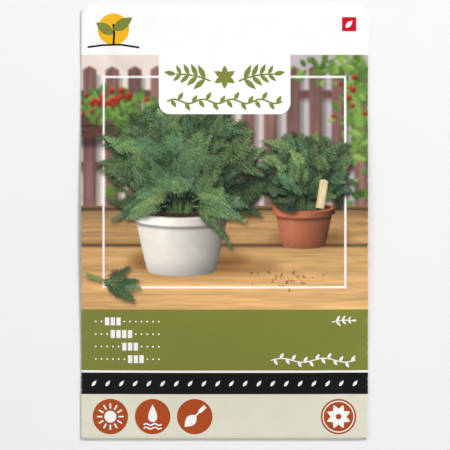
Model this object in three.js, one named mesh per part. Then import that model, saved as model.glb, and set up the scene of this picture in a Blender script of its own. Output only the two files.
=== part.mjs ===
// A sealed paper seed packet, lying on its back: one folded and glued sheet of coated paper, a heat-sealed
// glassine sachet inside it, and dill seeds inside the sachet.
// Millimetres. +X is across the packet, +Y runs up the printed front, +Z points out of the front.
// The origin is the middle of the back, on the surface that the packet lies on.
import * as THREE from "three";

// Packet
const PACKET_WIDTH = 80;
const PACKET_HEIGHT = 120;
const PACKET_THICKNESS = 4.2;
const PAPER = 0.12;
const PLY_GAP = 0.07; // room for a glue film between two plies
const SIDE_FOLD_RADIUS = 0.195; // of the middle of the paper
const SIDE_EDGE_LIFT = 0.8; // how far the side folds arch off the table at mid height
const LIFT_FROM = 20; // |x| where the back starts to rise to the side folds
const LIFT_HALF_LENGTH = 46; // |y| where the arch of the side folds ends
const FOLD_STEPS = 6; // flats around each half turn of a fold

// Glued flaps and seam on the back
const BOTTOM_FLAP = 12;
const TOP_FLAP = 14;
const FLAP_HALF_WIDTH = 38.5; // at its fold
const FLAP_TAPER = 3.5; // narrower at its free edge by this on each side
const FLAP_SETTLE = 4; // the length over which the back comes down to the table beyond a flap
const LAP_HALF_WIDTH = 5;
const LAP_RAMP_START = 8; // the inner ply starts to climb over the outer ply here
const LAP_RAMP_END = 5.6;

// Glue films
const GLUE = 0.05;
const SEAM_GLUE_WIDTH = 8;
const SEAM_GLUE_HALF_LENGTH = 56;
const FLAP_GLUE_HALF_WIDTH = 33;
const FLAP_GLUE_MARGIN = 1.6; // from the flap's fold and from its free edge

// How the front swells over the contents
const SWELL_POWER = 2.2;
const SWELL_BOTTOM = [-58, -24]; // the front is flat below the first height and full above the second
const SWELL_TOP = [12, 56]; // full below the first height and flat above the second

// Inner sachet
const FILM = 0.08;
const FILM_GAP = 0.06;
const SACHET_CENTRE_Y = -5;
const SACHET_HALF_WIDTH = 30;
const SACHET_HALF_HEIGHT = 39;
const SACHET_SEAL = 5; // width of the sealed rim
const SACHET_CLEARANCE = 0.4; // from the outer face of the packet's back to the sachet
const SACHET_DOME = 2.9;
const DOME_POWER = 4;

// Seeds
const SEED_COLUMNS = 6;
const SEED_ROWS = 8;
const SEED_PITCH_X = 6.4;
const SEED_PITCH_Y = 6.8;
const SEED_LENGTH = 4.2;
const SEED_WIDTH = 2.3;
const SEED_THICKNESS = 0.9;
const SEED_CLEARANCE = 0.05; // above the film that it lies on
const SEED_RIB = 0.12; // how far the ribs stand out, as a share of the half height
const SEED_UNDERSIDE = 0.35; // the flatter side's height beside the domed side's
const SEED_BLUNTNESS = 0.6; // lower makes the ends rounder
const SEED_SIZE_RANGE = [0.9, 1.1];
const SEED_STRAY = 0.5; // from its even place, each way
const SEED_SIDES = 10;
const SEED_RINGS = 5;

const SIDE_FOLD_X = PACKET_WIDTH / 2 - SIDE_FOLD_RADIUS - PAPER / 2;
const FLAT_FRONT_Z = PAPER + PLY_GAP + PAPER / 2 + 2 * SIDE_FOLD_RADIUS;
const FLAP_Z = PAPER / 2;
const FLAP_FOLD_RADIUS = (FLAT_FRONT_Z - FLAP_Z) / 2;
const FLAP_FOLD_Y = PACKET_HEIGHT / 2 - FLAP_FOLD_RADIUS - PAPER / 2;

const paper = new THREE.MeshStandardMaterial({ color: 0xf7f6f2, roughness: 0.45, metalness: 0 });
const glassine = new THREE.MeshStandardMaterial({ color: 0xe9e6da, roughness: 0.3, metalness: 0 });
const glue = new THREE.MeshStandardMaterial({ color: 0xe8dfc0, roughness: 0.5, metalness: 0 });
const seedCoat = new THREE.MeshStandardMaterial({ color: 0x8a6a43, roughness: 0.8, metalness: 0 });

// 0 up to the first value, 1 beyond the second, and a smooth S between them.
function ease(value, from, to) {
  const t = Math.min(Math.max((value - from) / (to - from), 0), 1);
  return t * t * (3 - 2 * t);
}

// How far the back is held up by the flap that is folded under it, from 0 to 1.
function overFlap(y) {
  const bottomEdge = PACKET_HEIGHT / 2 - BOTTOM_FLAP;
  const topEdge = PACKET_HEIGHT / 2 - TOP_FLAP;
  return ease(-y, bottomEdge - FLAP_SETTLE, bottomEdge) + ease(y, topEdge - FLAP_SETTLE, topEdge);
}

// The outer face of the packet's back.
function backFace(x, y) {
  const arch = Math.cos((Math.PI / 2) * Math.min(Math.abs(y) / LIFT_HALF_LENGTH, 1)) ** 2;
  const lift = SIDE_EDGE_LIFT * arch * ease(Math.abs(x), LIFT_FROM, PACKET_WIDTH / 2);
  return overFlap(y) * (PAPER + PLY_GAP) + lift;
}

// The middle of the front's paper: level with the side folds at its edges, and swelling in between.
function frontMiddle(x, y) {
  const edge = backFace(SIDE_FOLD_X, y) + PAPER / 2 + 2 * SIDE_FOLD_RADIUS;
  const across = 1 - Math.min(Math.abs(x) / SIDE_FOLD_X, 1) ** SWELL_POWER;
  const along = ease(y, ...SWELL_BOTTOM) * (1 - ease(y, ...SWELL_TOP));
  return edge + (PACKET_THICKNESS - PAPER / 2 - edge) * across * along;
}

// A thin sheet as one closed solid. middle[column][row] is a point of its middle surface, or null where the
// blank is cut away. Each side is offset along the normal, and a rim closes every cut edge.
function sheetSolid(middle, thickness) {
  const columns = middle.length;
  const rows = middle[0].length;
  const at = (i, j) => (i >= 0 && i < columns && j >= 0 && j < rows ? middle[i][j] : null);
  const positions = [];
  const index = new Map();
  const between = (a, b, here) => new THREE.Vector3().subVectors(b || here, a || here);
  for (let i = 0; i < columns; i++) {
    for (let j = 0; j < rows; j++) {
      const here = at(i, j);
      if (!here) continue;
      const alongColumns = between(at(i - 1, j), at(i + 1, j), here);
      const alongRows = between(at(i, j - 1), at(i, j + 1), here);
      const normal = alongColumns.cross(alongRows).normalize().multiplyScalar(thickness / 2);
      index.set(i * rows + j, positions.length / 3);
      positions.push(here.x + normal.x, here.y + normal.y, here.z + normal.z);
      positions.push(here.x - normal.x, here.y - normal.y, here.z - normal.z);
    }
  }
  const triangles = [];
  const quad = (a, b, c, d) => triangles.push(a, b, c, a, c, d);
  const whole = (i, j) => at(i, j) && at(i + 1, j) && at(i + 1, j + 1) && at(i, j + 1);
  const outer = (i, j) => index.get(i * rows + j);
  const rim = (a, b) => quad(a, a + 1, b + 1, b);
  for (let i = 0; i < columns - 1; i++) {
    for (let j = 0; j < rows - 1; j++) {
      if (!whole(i, j)) continue;
      const corners = [outer(i, j), outer(i + 1, j), outer(i + 1, j + 1), outer(i, j + 1)];
      quad(...corners);
      quad(...corners.map((corner) => corner + 1).reverse());
      if (!whole(i, j - 1)) rim(corners[0], corners[1]);
      if (!whole(i + 1, j)) rim(corners[1], corners[2]);
      if (!whole(i, j + 1)) rim(corners[2], corners[3]);
      if (!whole(i - 1, j)) rim(corners[3], corners[0]);
    }
  }
  const geometry = new THREE.BufferGeometry();
  geometry.setAttribute("position", new THREE.Float32BufferAttribute(positions, 3));
  geometry.setIndex(triangles);
  return geometry;
}

// Values from first to last at the given number of equal steps, both ends included.
function steps(first, last, count) {
  return Array.from({ length: count + 1 }, (_, k) => first + ((last - first) * k) / count);
}

// The rows of points up the sleeve, closer together where the back steps over a flap.
const SLEEVE_YS = [
  ...steps(-FLAP_FOLD_Y, -48, 3),
  -46,
  ...steps(-44, 40, 14),
  42,
  44,
  ...steps(46, FLAP_FOLD_Y, 3),
];

// The packet's paper, blank and folds: one sheet with two wings that lap on the back, and two flaps.
function envelopeGeometry() {
  const wing = (x, climb) => (y) => {
    const z = backFace(x, y) + PAPER / 2 + climb * (PAPER + PLY_GAP);
    return new THREE.Vector3(x, y, z);
  };
  const fold = (side, angle) => (y) => {
    const centre = backFace(SIDE_FOLD_X, y) + PAPER / 2 + SIDE_FOLD_RADIUS;
    const x = side * (SIDE_FOLD_X + SIDE_FOLD_RADIUS * Math.cos(angle));
    return new THREE.Vector3(x, y, centre + SIDE_FOLD_RADIUS * Math.sin(angle));
  };
  const front = (x) => (y) => new THREE.Vector3(x, y, frontMiddle(x, y));
  const wingXs = [0, 10, LIFT_FROM, 25, 30, 35, SIDE_FOLD_X];
  const foldAngles = steps(-Math.PI / 2, Math.PI / 2, FOLD_STEPS).slice(1, -1);
  const halfFrontXs = [SIDE_FOLD_X, FLAP_HALF_WIDTH, 35, 30, 25, 20, 15, 10, 5];
  const frontXs = [...halfFrontXs, 0, ...halfFrontXs.map((x) => -x).reverse()];
  const innerXs = [LAP_HALF_WIDTH, 0, -LAP_RAMP_END];
  const stations = [
    wing(-LAP_HALF_WIDTH, 0),
    ...wingXs.map((x) => wing(x, 0)),
    ...foldAngles.map((angle) => fold(1, angle)),
    ...frontXs.map(front),
    ...foldAngles.toReversed().map((angle) => fold(-1, angle)),
    ...wingXs.slice(2).reverse().map((x) => wing(-x, 0)),
    wing(-LAP_RAMP_START, 0),
    ...innerXs.reverse().map((x) => wing(x, 1)),
  ];
  const firstFront = 1 + wingXs.length + foldAngles.length;
  const lastFront = firstFront + frontXs.length - 1;

  const arcAngles = steps(Math.PI / 2, -Math.PI / 2, FOLD_STEPS).slice(1);
  const flapRows = (end, depth) => {
    const arc = arcAngles.map((angle) => ({
      inset: 0,
      y: end * (FLAP_FOLD_Y + FLAP_FOLD_RADIUS * Math.cos(angle)),
      z: FLAP_Z + FLAP_FOLD_RADIUS * (1 + Math.sin(angle)),
    }));
    const free = PACKET_HEIGHT / 2 - depth;
    const flat = steps(FLAP_FOLD_Y, free, 3).slice(1).map((y) => ({
      inset: (FLAP_TAPER * (FLAP_FOLD_Y - y)) / (FLAP_FOLD_Y - free),
      y: end * y,
      z: FLAP_Z,
    }));
    return [...arc, ...flat];
  };
  const flapPoint = (column, row) => {
    if (column <= firstFront || column >= lastFront) return null;
    const x = frontXs[column - firstFront];
    const narrowing = 1 - row.inset / FLAP_HALF_WIDTH;
    return new THREE.Vector3(x * narrowing, row.y, row.z);
  };
  const middle = stations.map((station, column) => [
    ...flapRows(-1, BOTTOM_FLAP).reverse().map((row) => flapPoint(column, row)),
    ...SLEEVE_YS.map((y) => station(y)),
    ...flapRows(1, TOP_FLAP).map((row) => flapPoint(column, row)),
  ]);
  return sheetSolid(middle, PAPER);
}

// The film of glue in the lap seam, which follows the back.
function seamGlueGeometry() {
  const half = SEAM_GLUE_WIDTH / 2;
  const ys = SLEEVE_YS.filter((y) => Math.abs(y) < SEAM_GLUE_HALF_LENGTH);
  const height = PAPER + PLY_GAP / 2;
  const column = (x) => ys.map((y) => new THREE.Vector3(x, y, backFace(x, y) + height));
  return sheetSolid([column(-half), column(half)], GLUE);
}

// The film of glue between a flap and the back, as a thin flat bar. end is -1 at the bottom and 1 at the top.
function flapGlueGeometry(end, depth) {
  const outer = FLAP_FOLD_Y - FLAP_GLUE_MARGIN;
  const inner = PACKET_HEIGHT / 2 - depth + FLAP_GLUE_MARGIN;
  const geometry = new THREE.BoxGeometry(2 * FLAP_GLUE_HALF_WIDTH, outer - inner, GLUE);
  geometry.translate(0, (end * (outer + inner)) / 2, PAPER + PLY_GAP / 2);
  return geometry;
}

// The height of the sachet's front film above its back film: nothing on the sealed rim, domed inside it.
function sachetDome(x, y) {
  const across = Math.abs(x) / (SACHET_HALF_WIDTH - SACHET_SEAL);
  const along = Math.abs(y - SACHET_CENTRE_Y) / (SACHET_HALF_HEIGHT - SACHET_SEAL);
  if (across >= 1 || along >= 1) return 0;
  return SACHET_DOME * (1 - across ** DOME_POWER) * (1 - along ** DOME_POWER);
}

// One film of the sachet. The back film follows the packet's back, and the front film domes over the seeds.
function sachetFilmGeometry(isFront) {
  const halfXs = [SACHET_HALF_WIDTH, SACHET_HALF_WIDTH - SACHET_SEAL, 22, 18, 12, 6];
  const halfYs = [SACHET_HALF_HEIGHT, SACHET_HALF_HEIGHT - SACHET_SEAL, 31, 27, 21, 14, 7];
  const mirrored = (half) => [...half.map((v) => -v), 0, ...half.toReversed()];
  const base = SACHET_CLEARANCE + FILM / 2;
  const height = (x, y) => base + (isFront ? FILM + FILM_GAP + sachetDome(x, y) : 0);
  const middle = mirrored(halfXs).map((x) =>
    mirrored(halfYs).map((offset) => {
      const y = SACHET_CENTRE_Y + offset;
      return new THREE.Vector3(x, y, backFace(x, y) + height(x, y));
    }),
  );
  return sheetSolid(middle, FILM);
}

// A repeatable number from 0 to 1 for each seed and each use of it.
function scatter(seed, use) {
  const wave = Math.sin(seed * 12.9898 + use * 78.233) * 43758.5453;
  return wave - Math.floor(wave);
}

// A dill seed lying on its flatter side: an oval shell, with ribs along its domed back.
function seedGeometry(length, width, thickness) {
  const outline = (t) => Math.sin(Math.PI * t) ** SEED_BLUNTNESS;
  const unit = thickness / (1 + SEED_RIB + SEED_UNDERSIDE);
  const section = (angle) => {
    const rib = 1 + SEED_RIB * Math.cos(4 * angle) ** 2;
    const high = Math.sin(angle) > 0 ? Math.sin(angle) * rib : SEED_UNDERSIDE * Math.sin(angle);
    return { side: (Math.cos(angle) * width) / 2, high: high * unit };
  };
  const positions = [-length / 2, 0, 0];
  for (let ring = 1; ring <= SEED_RINGS; ring++) {
    const t = ring / (SEED_RINGS + 1);
    for (let side = 0; side < SEED_SIDES; side++) {
      const at = section((2 * Math.PI * side) / SEED_SIDES);
      positions.push((t - 0.5) * length, at.side * outline(t), at.high * outline(t));
    }
  }
  positions.push(length / 2, 0, 0);
  const triangles = [];
  const last = positions.length / 3 - 1;
  const point = (ring, side) => 1 + (ring - 1) * SEED_SIDES + (side % SEED_SIDES);
  for (let side = 0; side < SEED_SIDES; side++) {
    triangles.push(0, point(1, side + 1), point(1, side));
    triangles.push(last, point(SEED_RINGS, side), point(SEED_RINGS, side + 1));
    for (let ring = 1; ring < SEED_RINGS; ring++) {
      triangles.push(point(ring, side), point(ring, side + 1), point(ring + 1, side + 1));
      triangles.push(point(ring, side), point(ring + 1, side + 1), point(ring + 1, side));
    }
  }
  const geometry = new THREE.BufferGeometry();
  geometry.setAttribute("position", new THREE.Float32BufferAttribute(positions, 3));
  geometry.setIndex(triangles);
  geometry.computeBoundingBox();
  geometry.translate(0, 0, -geometry.boundingBox.min.z);
  return geometry;
}

function named(name, geometry, material) {
  const mesh = new THREE.Mesh(geometry, material);
  mesh.name = name;
  return mesh;
}

// The seeds lie one deep on the back film, each in its own place, size and direction.
function seedMeshes() {
  const meshes = [];
  for (let row = 0; row < SEED_ROWS; row++) {
    for (let column = 0; column < SEED_COLUMNS; column++) {
      const number = row * SEED_COLUMNS + column + 1;
      const size = THREE.MathUtils.lerp(...SEED_SIZE_RANGE, scatter(number, 1));
      const stray = (use) => SEED_STRAY * (2 * scatter(number, use) - 1);
      const geometry = seedGeometry(SEED_LENGTH * size, SEED_WIDTH * size, SEED_THICKNESS * size);
      const seed = named(`seed_${String(number).padStart(2, "0")}`, geometry, seedCoat);
      const x = (column - (SEED_COLUMNS - 1) / 2) * SEED_PITCH_X + stray(2);
      const y = SACHET_CENTRE_Y + (row - (SEED_ROWS - 1) / 2) * SEED_PITCH_Y + stray(3);
      const z = backFace(x, y) + SACHET_CLEARANCE + FILM + SEED_CLEARANCE;
      seed.position.set(x, y, z);
      seed.rotation.z = Math.PI * scatter(number, 4);
      meshes.push(seed);
    }
  }
  return meshes;
}

const packet = new THREE.Group();
packet.add(
  named("outer_envelope", envelopeGeometry(), paper),
  named("back_seam_glue", seamGlueGeometry(), glue),
  named("bottom_flap_glue", flapGlueGeometry(-1, BOTTOM_FLAP), glue),
  named("top_flap_glue", flapGlueGeometry(1, TOP_FLAP), glue),
  named("sachet_back_film", sachetFilmGeometry(false), glassine),
  named("sachet_front_film", sachetFilmGeometry(true), glassine),
  ...seedMeshes(),
);

export default packet;
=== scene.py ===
"""The looks of a sealed paper seed packet that lies on its back: its printed paper, and the glassine, glue
and seeds inside. It is laid out as an add-on and run as a script."""

import math
from itertools import chain
from types import SimpleNamespace

import bpy
import numpy as np
from bpy.props import FloatProperty, FloatVectorProperty, PointerProperty
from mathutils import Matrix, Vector
from mathutils.geometry import delaunay_2d_cdt


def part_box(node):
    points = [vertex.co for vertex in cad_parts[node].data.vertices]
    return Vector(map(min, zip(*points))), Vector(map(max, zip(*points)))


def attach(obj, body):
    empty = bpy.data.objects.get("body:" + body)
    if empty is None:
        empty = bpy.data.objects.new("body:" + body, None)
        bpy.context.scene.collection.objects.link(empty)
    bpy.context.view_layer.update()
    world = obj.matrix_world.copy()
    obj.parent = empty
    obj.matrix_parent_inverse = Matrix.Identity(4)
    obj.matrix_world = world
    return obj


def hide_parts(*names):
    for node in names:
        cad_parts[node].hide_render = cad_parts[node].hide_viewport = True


bl_info = {
    "name": "Seed packet",
    "version": (1, 0, 0),
    "blender": (4, 5, 0),
    "location": "3D View > Sidebar > Seed packet",
    "description": "Makes a printed paper seed packet with its filled sachet, and a plain studio round it",
    "category": "Object",
}

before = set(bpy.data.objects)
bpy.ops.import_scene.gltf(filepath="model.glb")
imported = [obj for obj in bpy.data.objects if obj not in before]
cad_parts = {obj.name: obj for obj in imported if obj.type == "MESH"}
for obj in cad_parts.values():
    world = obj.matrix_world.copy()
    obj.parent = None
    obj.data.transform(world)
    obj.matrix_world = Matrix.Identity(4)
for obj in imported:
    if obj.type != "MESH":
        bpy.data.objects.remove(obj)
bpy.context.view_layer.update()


PACKET_LOW, PACKET_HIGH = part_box("outer_envelope")
MM = 0.001
NEXT_TO = 1e-6  # millimetres within which two places count as one
DECIMALS = 6  # of a millimetre, in a place on the flat blank


def length(label, about, size):
    """A property that holds a length, whose default is given in millimetres."""
    return FloatProperty(name=label, description=about, default=size * MM, unit="LENGTH", precision=5)


def amount(label, about, value, unit="NONE"):
    """A property that holds a number of nought or more."""
    return FloatProperty(name=label, description=about, default=value, unit=unit, min=0)


def spot(label, about, position):
    """A property that holds a place, whose default is given in metres."""
    return FloatVectorProperty(name=label, description=about, default=position, subtype="XYZ", unit="LENGTH")


def shares(code):
    """The red, green and blue of an sRGB hex value, each as a share from 0 to 1."""
    return np.array([int(code[i : i + 2], 16) for i in (1, 3, 5)]) / 255


def linear(colour):
    """Linear light from an sRGB hex value, or from an array of sRGB shares. A dark share is divided by
    12.92, and any other is moved up by 0.055, scaled back and raised to the power 2.4."""
    value = shares(colour) if isinstance(colour, str) else colour
    return np.where(value <= 0.04045, value / 12.92, ((value + 0.055) / 1.055) ** 2.4)


def ink(label, about, code):
    """A property that holds a colour, whose default is given as its sRGB hex value."""
    default = linear(code).tolist()
    return FloatVectorProperty(name=label, description=about, default=default, subtype="COLOR", min=0, max=1)


class PacketSizes(bpy.types.PropertyGroup):
    """The folded sheet of paper."""

    width: length("Width", "Across the packet", (PACKET_HIGH.x - PACKET_LOW.x) / MM)
    height: length("Height", "From fold to fold", (PACKET_HIGH.y - PACKET_LOW.y) / MM)
    thickness: length("Thickness", "Over the fullest part", PACKET_HIGH.z / MM)
    paper: length("Paper", "Thickness of the paper", 0.12)
    ply_gap: length("Ply gap", "Room for glue between two plies", 0.07)
    fold_radius: length("Fold radius", "Of the paper's middle in a side fold", 0.195)
    edge_lift: length("Edge lift", "How far the side folds arch off the table", 0.8)
    lift_from: length("Lift from", "Distance from the middle where the back begins to rise", 20)
    lift_reach: length("Lift reach", "Distance up or down where the arch ends", 46)
    bottom_flap: length("Bottom flap", "Depth of the flap folded under at the bottom", 12)
    top_flap: length("Top flap", "Depth of the flap folded under at the top", 14)
    flap_width: length("Flap width", "Half the width of a flap at its fold", 38.5)
    flap_taper: length("Flap taper", "How much narrower each side is at the free edge", 3.5)
    flap_settle: length("Flap settle", "Length over which the back comes down past a flap", 4)
    lap: length("Lap", "Half the width of the seam on the back", 5)
    lap_ramp: length("Lap ramp", "Where the inner ply begins to climb, from the middle", 8)
    lap_top: length("Lap top", "Where the inner ply has climbed all the way, from the middle", 5.6)
    relief: length("Relief", "How far creases and bumps rise above the smooth front", 0.322)
    wear_from: length("Wear from", "Distance from the middle where the ink begins to crack", 39.74)
    wear_full: length("Wear full", "Distance from the middle where it is cracked most", 39.99)


class PrintSizes(bpy.types.PropertyGroup):
    """Where the print's plain areas lie, up and down from the packet's middle, and how wide they are."""

    bleed: length("Bleed", "How far the print runs on past the side folds", 1.4)
    foot_bleed: length("Foot bleed", "How far the foot band runs on past the bottom fold", 3)
    picture_top: length("Picture top", "Upper edge of the picture", 47.07)
    picture_low: length("Picture bottom", "Lower edge of the picture", -23.86)
    panel_low: length("Panel bottom", "Lower edge of the olive panel", -40.87)
    band_top: length("Band top", "Upper edge of the black band", -41.48)
    band_low: length("Band bottom", "Lower edge of the black band", -47.51)
    tab_width: length("Tab width", "Half the width of the white tab", 18.33)
    tab_low: length("Tab bottom", "Lower edge of the tab that hangs over the picture", 30.43)
    tab_corner: length("Tab corner", "Radius of the tab's lower corners", 3.2)
    back_top: length("Back band top", "Upper edge of the band on the back", 42)
    back_low: length("Back band bottom", "Lower edge of the band on the back", 36)
    disc: length("Disc", "Radius of the printed discs", 4.95)
    disc_height: length("Disc height", "Middle of the row of discs", -53.79)
    pitch: length("Picture pitch", "Distance between the picture's points", 0.28)
    grid: length("Grid", "Distance between the points of the plain paper", 1.5)


class PrintColours(bpy.types.PropertyGroup):
    """Printing inks."""

    olive: ink("Olive", "Panel and ornaments", "#7e843a")
    black: ink("Black", "Band", "#121011")
    beige: ink("Beige", "Foot band", "#e0ddca")
    rust: ink("Rust", "Discs", "#ad4b20")
    red: ink("Red", "Small square", "#cf0529")
    gold: ink("Gold", "Sun in the emblem", "#f2b61f")
    paper: ink("Paper", "The coated white paper", "#f8f8f6")


class StuffColours(bpy.types.PropertyGroup):
    """The bare paper and what lies inside it."""

    fibre: ink("Cracked coating", "Paper fibre that shows where a fold has cracked the coating", "#f4f3ef")
    pulp: ink("Bare paper", "The uncoated side and the cut edges", "#efece4")
    glassine: ink("Glassine", "The sachet", "#e6e1d2")
    glue: ink("Glue", "Dried glue between two plies", "#dccf9f")
    seed_dark: ink("Seed", "Between the ribs of a seed", "#6b4c2b")
    seed_pale: ink("Seed rib", "On the ribs of a seed", "#b99a68")


class StageSizes(bpy.types.PropertyGroup):
    """The plain studio."""

    view: length("View", "Width of what the camera sees at the packet's front", 125.10)
    aim_x: length("Aim across", "Where the camera looks, across", 0.10)
    aim_y: length("Aim up", "Where the camera looks, up the packet", -0.37)
    lens: amount("Lens", "Focal length", 180, "CAMERA")
    floor: ink("Floor", "The pale floor", "#f1f1f0")
    radius: length("Radius", "Of the round floor, out to its cove", 900)
    cove: length("Cove", "Radius of the bend between floor and wall", 900)
    wall: length("Wall", "Height of the wall behind the cove", 1600)
    key: amount("Key lamp", "Power of the lamp behind on the right", 15.6, "POWER")
    key_width: length("Key lamp width", "Across its round face", 450)
    key_place: spot("Key lamp place", "Where it hangs", (0.60, 0.90, 0.75))
    fill: amount("Fill lamp", "Power of the lamp on the left", 3.7, "POWER")
    fill_width: length("Fill lamp width", "Across its round face", 900)
    fill_place: spot("Fill lamp place", "Where it hangs", (-0.90, -0.35, 0.85))
    sky: amount("Sky", "Strength of the even light from all round", 0.297)


def millimetres(group):
    """The group's values under their own names, its lengths in millimetres, to the nearest hundredth of a
    micron."""
    values = {}
    for name, prop in group.bl_rna.properties.items():
        if name in ("rna_type", "name"):
            continue
        value = getattr(group, name)
        values[name] = round(value / MM, 5) if getattr(prop, "unit", "NONE") == "LENGTH" else value
    return SimpleNamespace(**values)


def ease(value, low, high):
    """0 up to low, 1 beyond high, and a smooth S between them."""
    t = np.clip((value - low) / (high - low), 0, 1)
    return t * t * (3 - 2 * t)


def bell(value, width):
    """1 at 0, and falling off to both sides as a bell curve, to 0.37 at the width."""
    return np.exp(-((value / width) ** 2))


def turned(dx, dy, angle):
    """How far a place lies along and aside of a line that leaves the origin at this angle."""
    cosine, sine = math.cos(angle), math.sin(angle)
    return dx * cosine + dy * sine, dy * cosine - dx * sine


def past_box(x, y, half_x, half_y):
    """How far a place lies outside a box round the origin: the larger of its two overhangs, below 0
    inside."""
    return np.maximum(np.abs(x) - half_x, np.abs(y) - half_y)


# The folded paper


def back_face(packet, x, y):
    """Height of the back's outer face: a step over each flap, and an arch at the sides that fades out."""
    bottom, top = packet.height / 2 - packet.bottom_flap, packet.height / 2 - packet.top_flap
    over = ease(-y, bottom - packet.flap_settle, bottom) + ease(y, top - packet.flap_settle, top)
    arch = np.cos(np.pi / 2 * np.minimum(np.abs(y) / packet.lift_reach, 1)) ** 2
    lift = packet.edge_lift * arch * ease(np.abs(x), packet.lift_from, packet.width / 2)
    return over * (packet.paper + packet.ply_gap) + lift


# The furrow at each corner: the corner's side and end, the furrow's turn away from the packet's side in
# radians, its depth, and its width half way along.
FURROWS = (
    (-1, -1, 0.95, 0.26, 2.6),
    (1, -1, 1.12, 0.32, 2.2),
    (-1, 1, 1.05, 0.34, 2.4),
    (1, 1, 0.9, 0.25, 2.8),
)


def seed_bumps(rng, x, y):
    """Seeds that show through the front: a soft bell-shaped bump over each of a heap below the middle."""
    count = 90
    across, up = rng.normal(0, 12, count), rng.normal(-12, 15, count)
    reaches, rises = rng.uniform(1.3, 2.6, count), rng.uniform(0.02, 0.1, count)
    height = np.zeros_like(x)
    for seed_x, seed_y, reach, rise in zip(across, up, reaches, rises):
        height += rise * np.exp(-((x - seed_x) ** 2 + (y - seed_y) ** 2) / reach**2)
    return height


def corner_furrows(packet, x, y):
    """A furrow from each corner: a bell curve across it that widens on its way, and an S at each end."""
    height = np.zeros_like(x)
    for side, end, turn, depth, width in FURROWS:
        along, aside = turned(packet.width / 2 - side * x, packet.height / 2 - end * y, turn)
        cut = depth * bell(aside, width * (0.5 + along / 30))
        height -= cut * ease(along, 5, 16) * (1 - ease(along, 22, 46))
    return height


def side_wrinkles(rng, x, y):
    """Short wrinkles that run in from the two sides in turn: a bell curve across, and an S at each end."""
    start, count = 36.5, 16
    height = np.zeros_like(x)
    for k in range(count):
        side, level, turn = (-1) ** k, rng.uniform(-20, 42), rng.normal(0, 0.45)
        along, aside = turned(start - side * x, y - level, turn)
        reach = rng.uniform(5, 12)
        shape = bell(aside, rng.uniform(0.5, 0.9)) * (1 - ease(along, reach / 2, reach))
        height += rng.uniform(-0.13, 0.08) * shape * ease(along, 0, 2.5)
    return height


def creases(packet, x, y):
    """Small undulations of the filled front: the seeds, the furrows, the wrinkles, a step at the edge of
    the sachet inside, puckers along the sides that are a wave up and down, and a slow swell that is a wave
    each way. All of them have faded out where they reach a fold."""
    rng = np.random.default_rng(4)
    sachet_half, sachet_tall, sachet_x, sachet_y = 30, 39, -0.6, -5
    window = (1 - ease(np.abs(x), 26, 39.5)) * (1 - ease(np.abs(y - sachet_y), 34, 50))
    bumps = seed_bumps(rng, x, y) * window
    past_sachet = past_box(x - sachet_x, y - sachet_y, sachet_half, sachet_tall)
    step = 0.09 * (1 - ease(past_sachet, -1.0, 1.0))
    wave = 13.0
    pucker = 0.10 * np.sin(2 * np.pi * y / wave + np.sign(x) * 1.3) * ease(np.abs(x), 24, 33)
    pucker *= (1 - ease(np.abs(x), 34, 39.6)) * (1 - ease(np.abs(y), 34, 50))
    swell = 0.13 * np.sin(x / 9.0 + 0.6) * np.cos(y / 15.0 + 0.4) * window
    return bumps + corner_furrows(packet, x, y) + side_wrinkles(rng, x, y) + step + pucker + swell


def front_middle(packet, x, y):
    """Height of the front's middle: level with the side folds, and swelling between them as one minus a
    power of the distance from the middle, times an S at the bottom and at the top, plus the creases."""
    side = packet.width / 2 - packet.fold_radius - packet.paper / 2
    edge = back_face(packet, side, y) + packet.paper / 2 + 2 * packet.fold_radius
    fullness = 2.2
    across = 1 - np.minimum(np.abs(x) / side, 1) ** fullness
    flat_below, full_from, full_to, flat_above = -58, -24, 12, 56
    along = ease(y, flat_below, full_from) * (1 - ease(y, full_to, flat_above))
    room = packet.thickness - packet.relief - packet.paper / 2 - edge
    return edge + room * across * along + creases(packet, x, y)


def fold_places(packet):
    """Where the folds lie on the flat blank, and how long its wings and flaps are."""
    side = packet.width / 2 - packet.fold_radius - packet.paper / 2
    arc = math.pi * packet.fold_radius
    flat_front = packet.paper * 1.5 + packet.ply_gap + 2 * packet.fold_radius
    flap_radius = (flat_front - packet.paper / 2) / 2
    end = packet.height / 2 - flap_radius - packet.paper / 2
    flap_arc = math.pi * flap_radius
    bottom, top = (
        end + flap_arc + end - (packet.height / 2 - depth) for depth in (packet.bottom_flap, packet.top_flap)
    )
    return SimpleNamespace(
        side=side, arc=arc, wing=side + arc + side + packet.lap, end=end, flap_arc=flap_arc,
        flap_radius=flap_radius, bottom=-bottom, top=top,
    )


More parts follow.
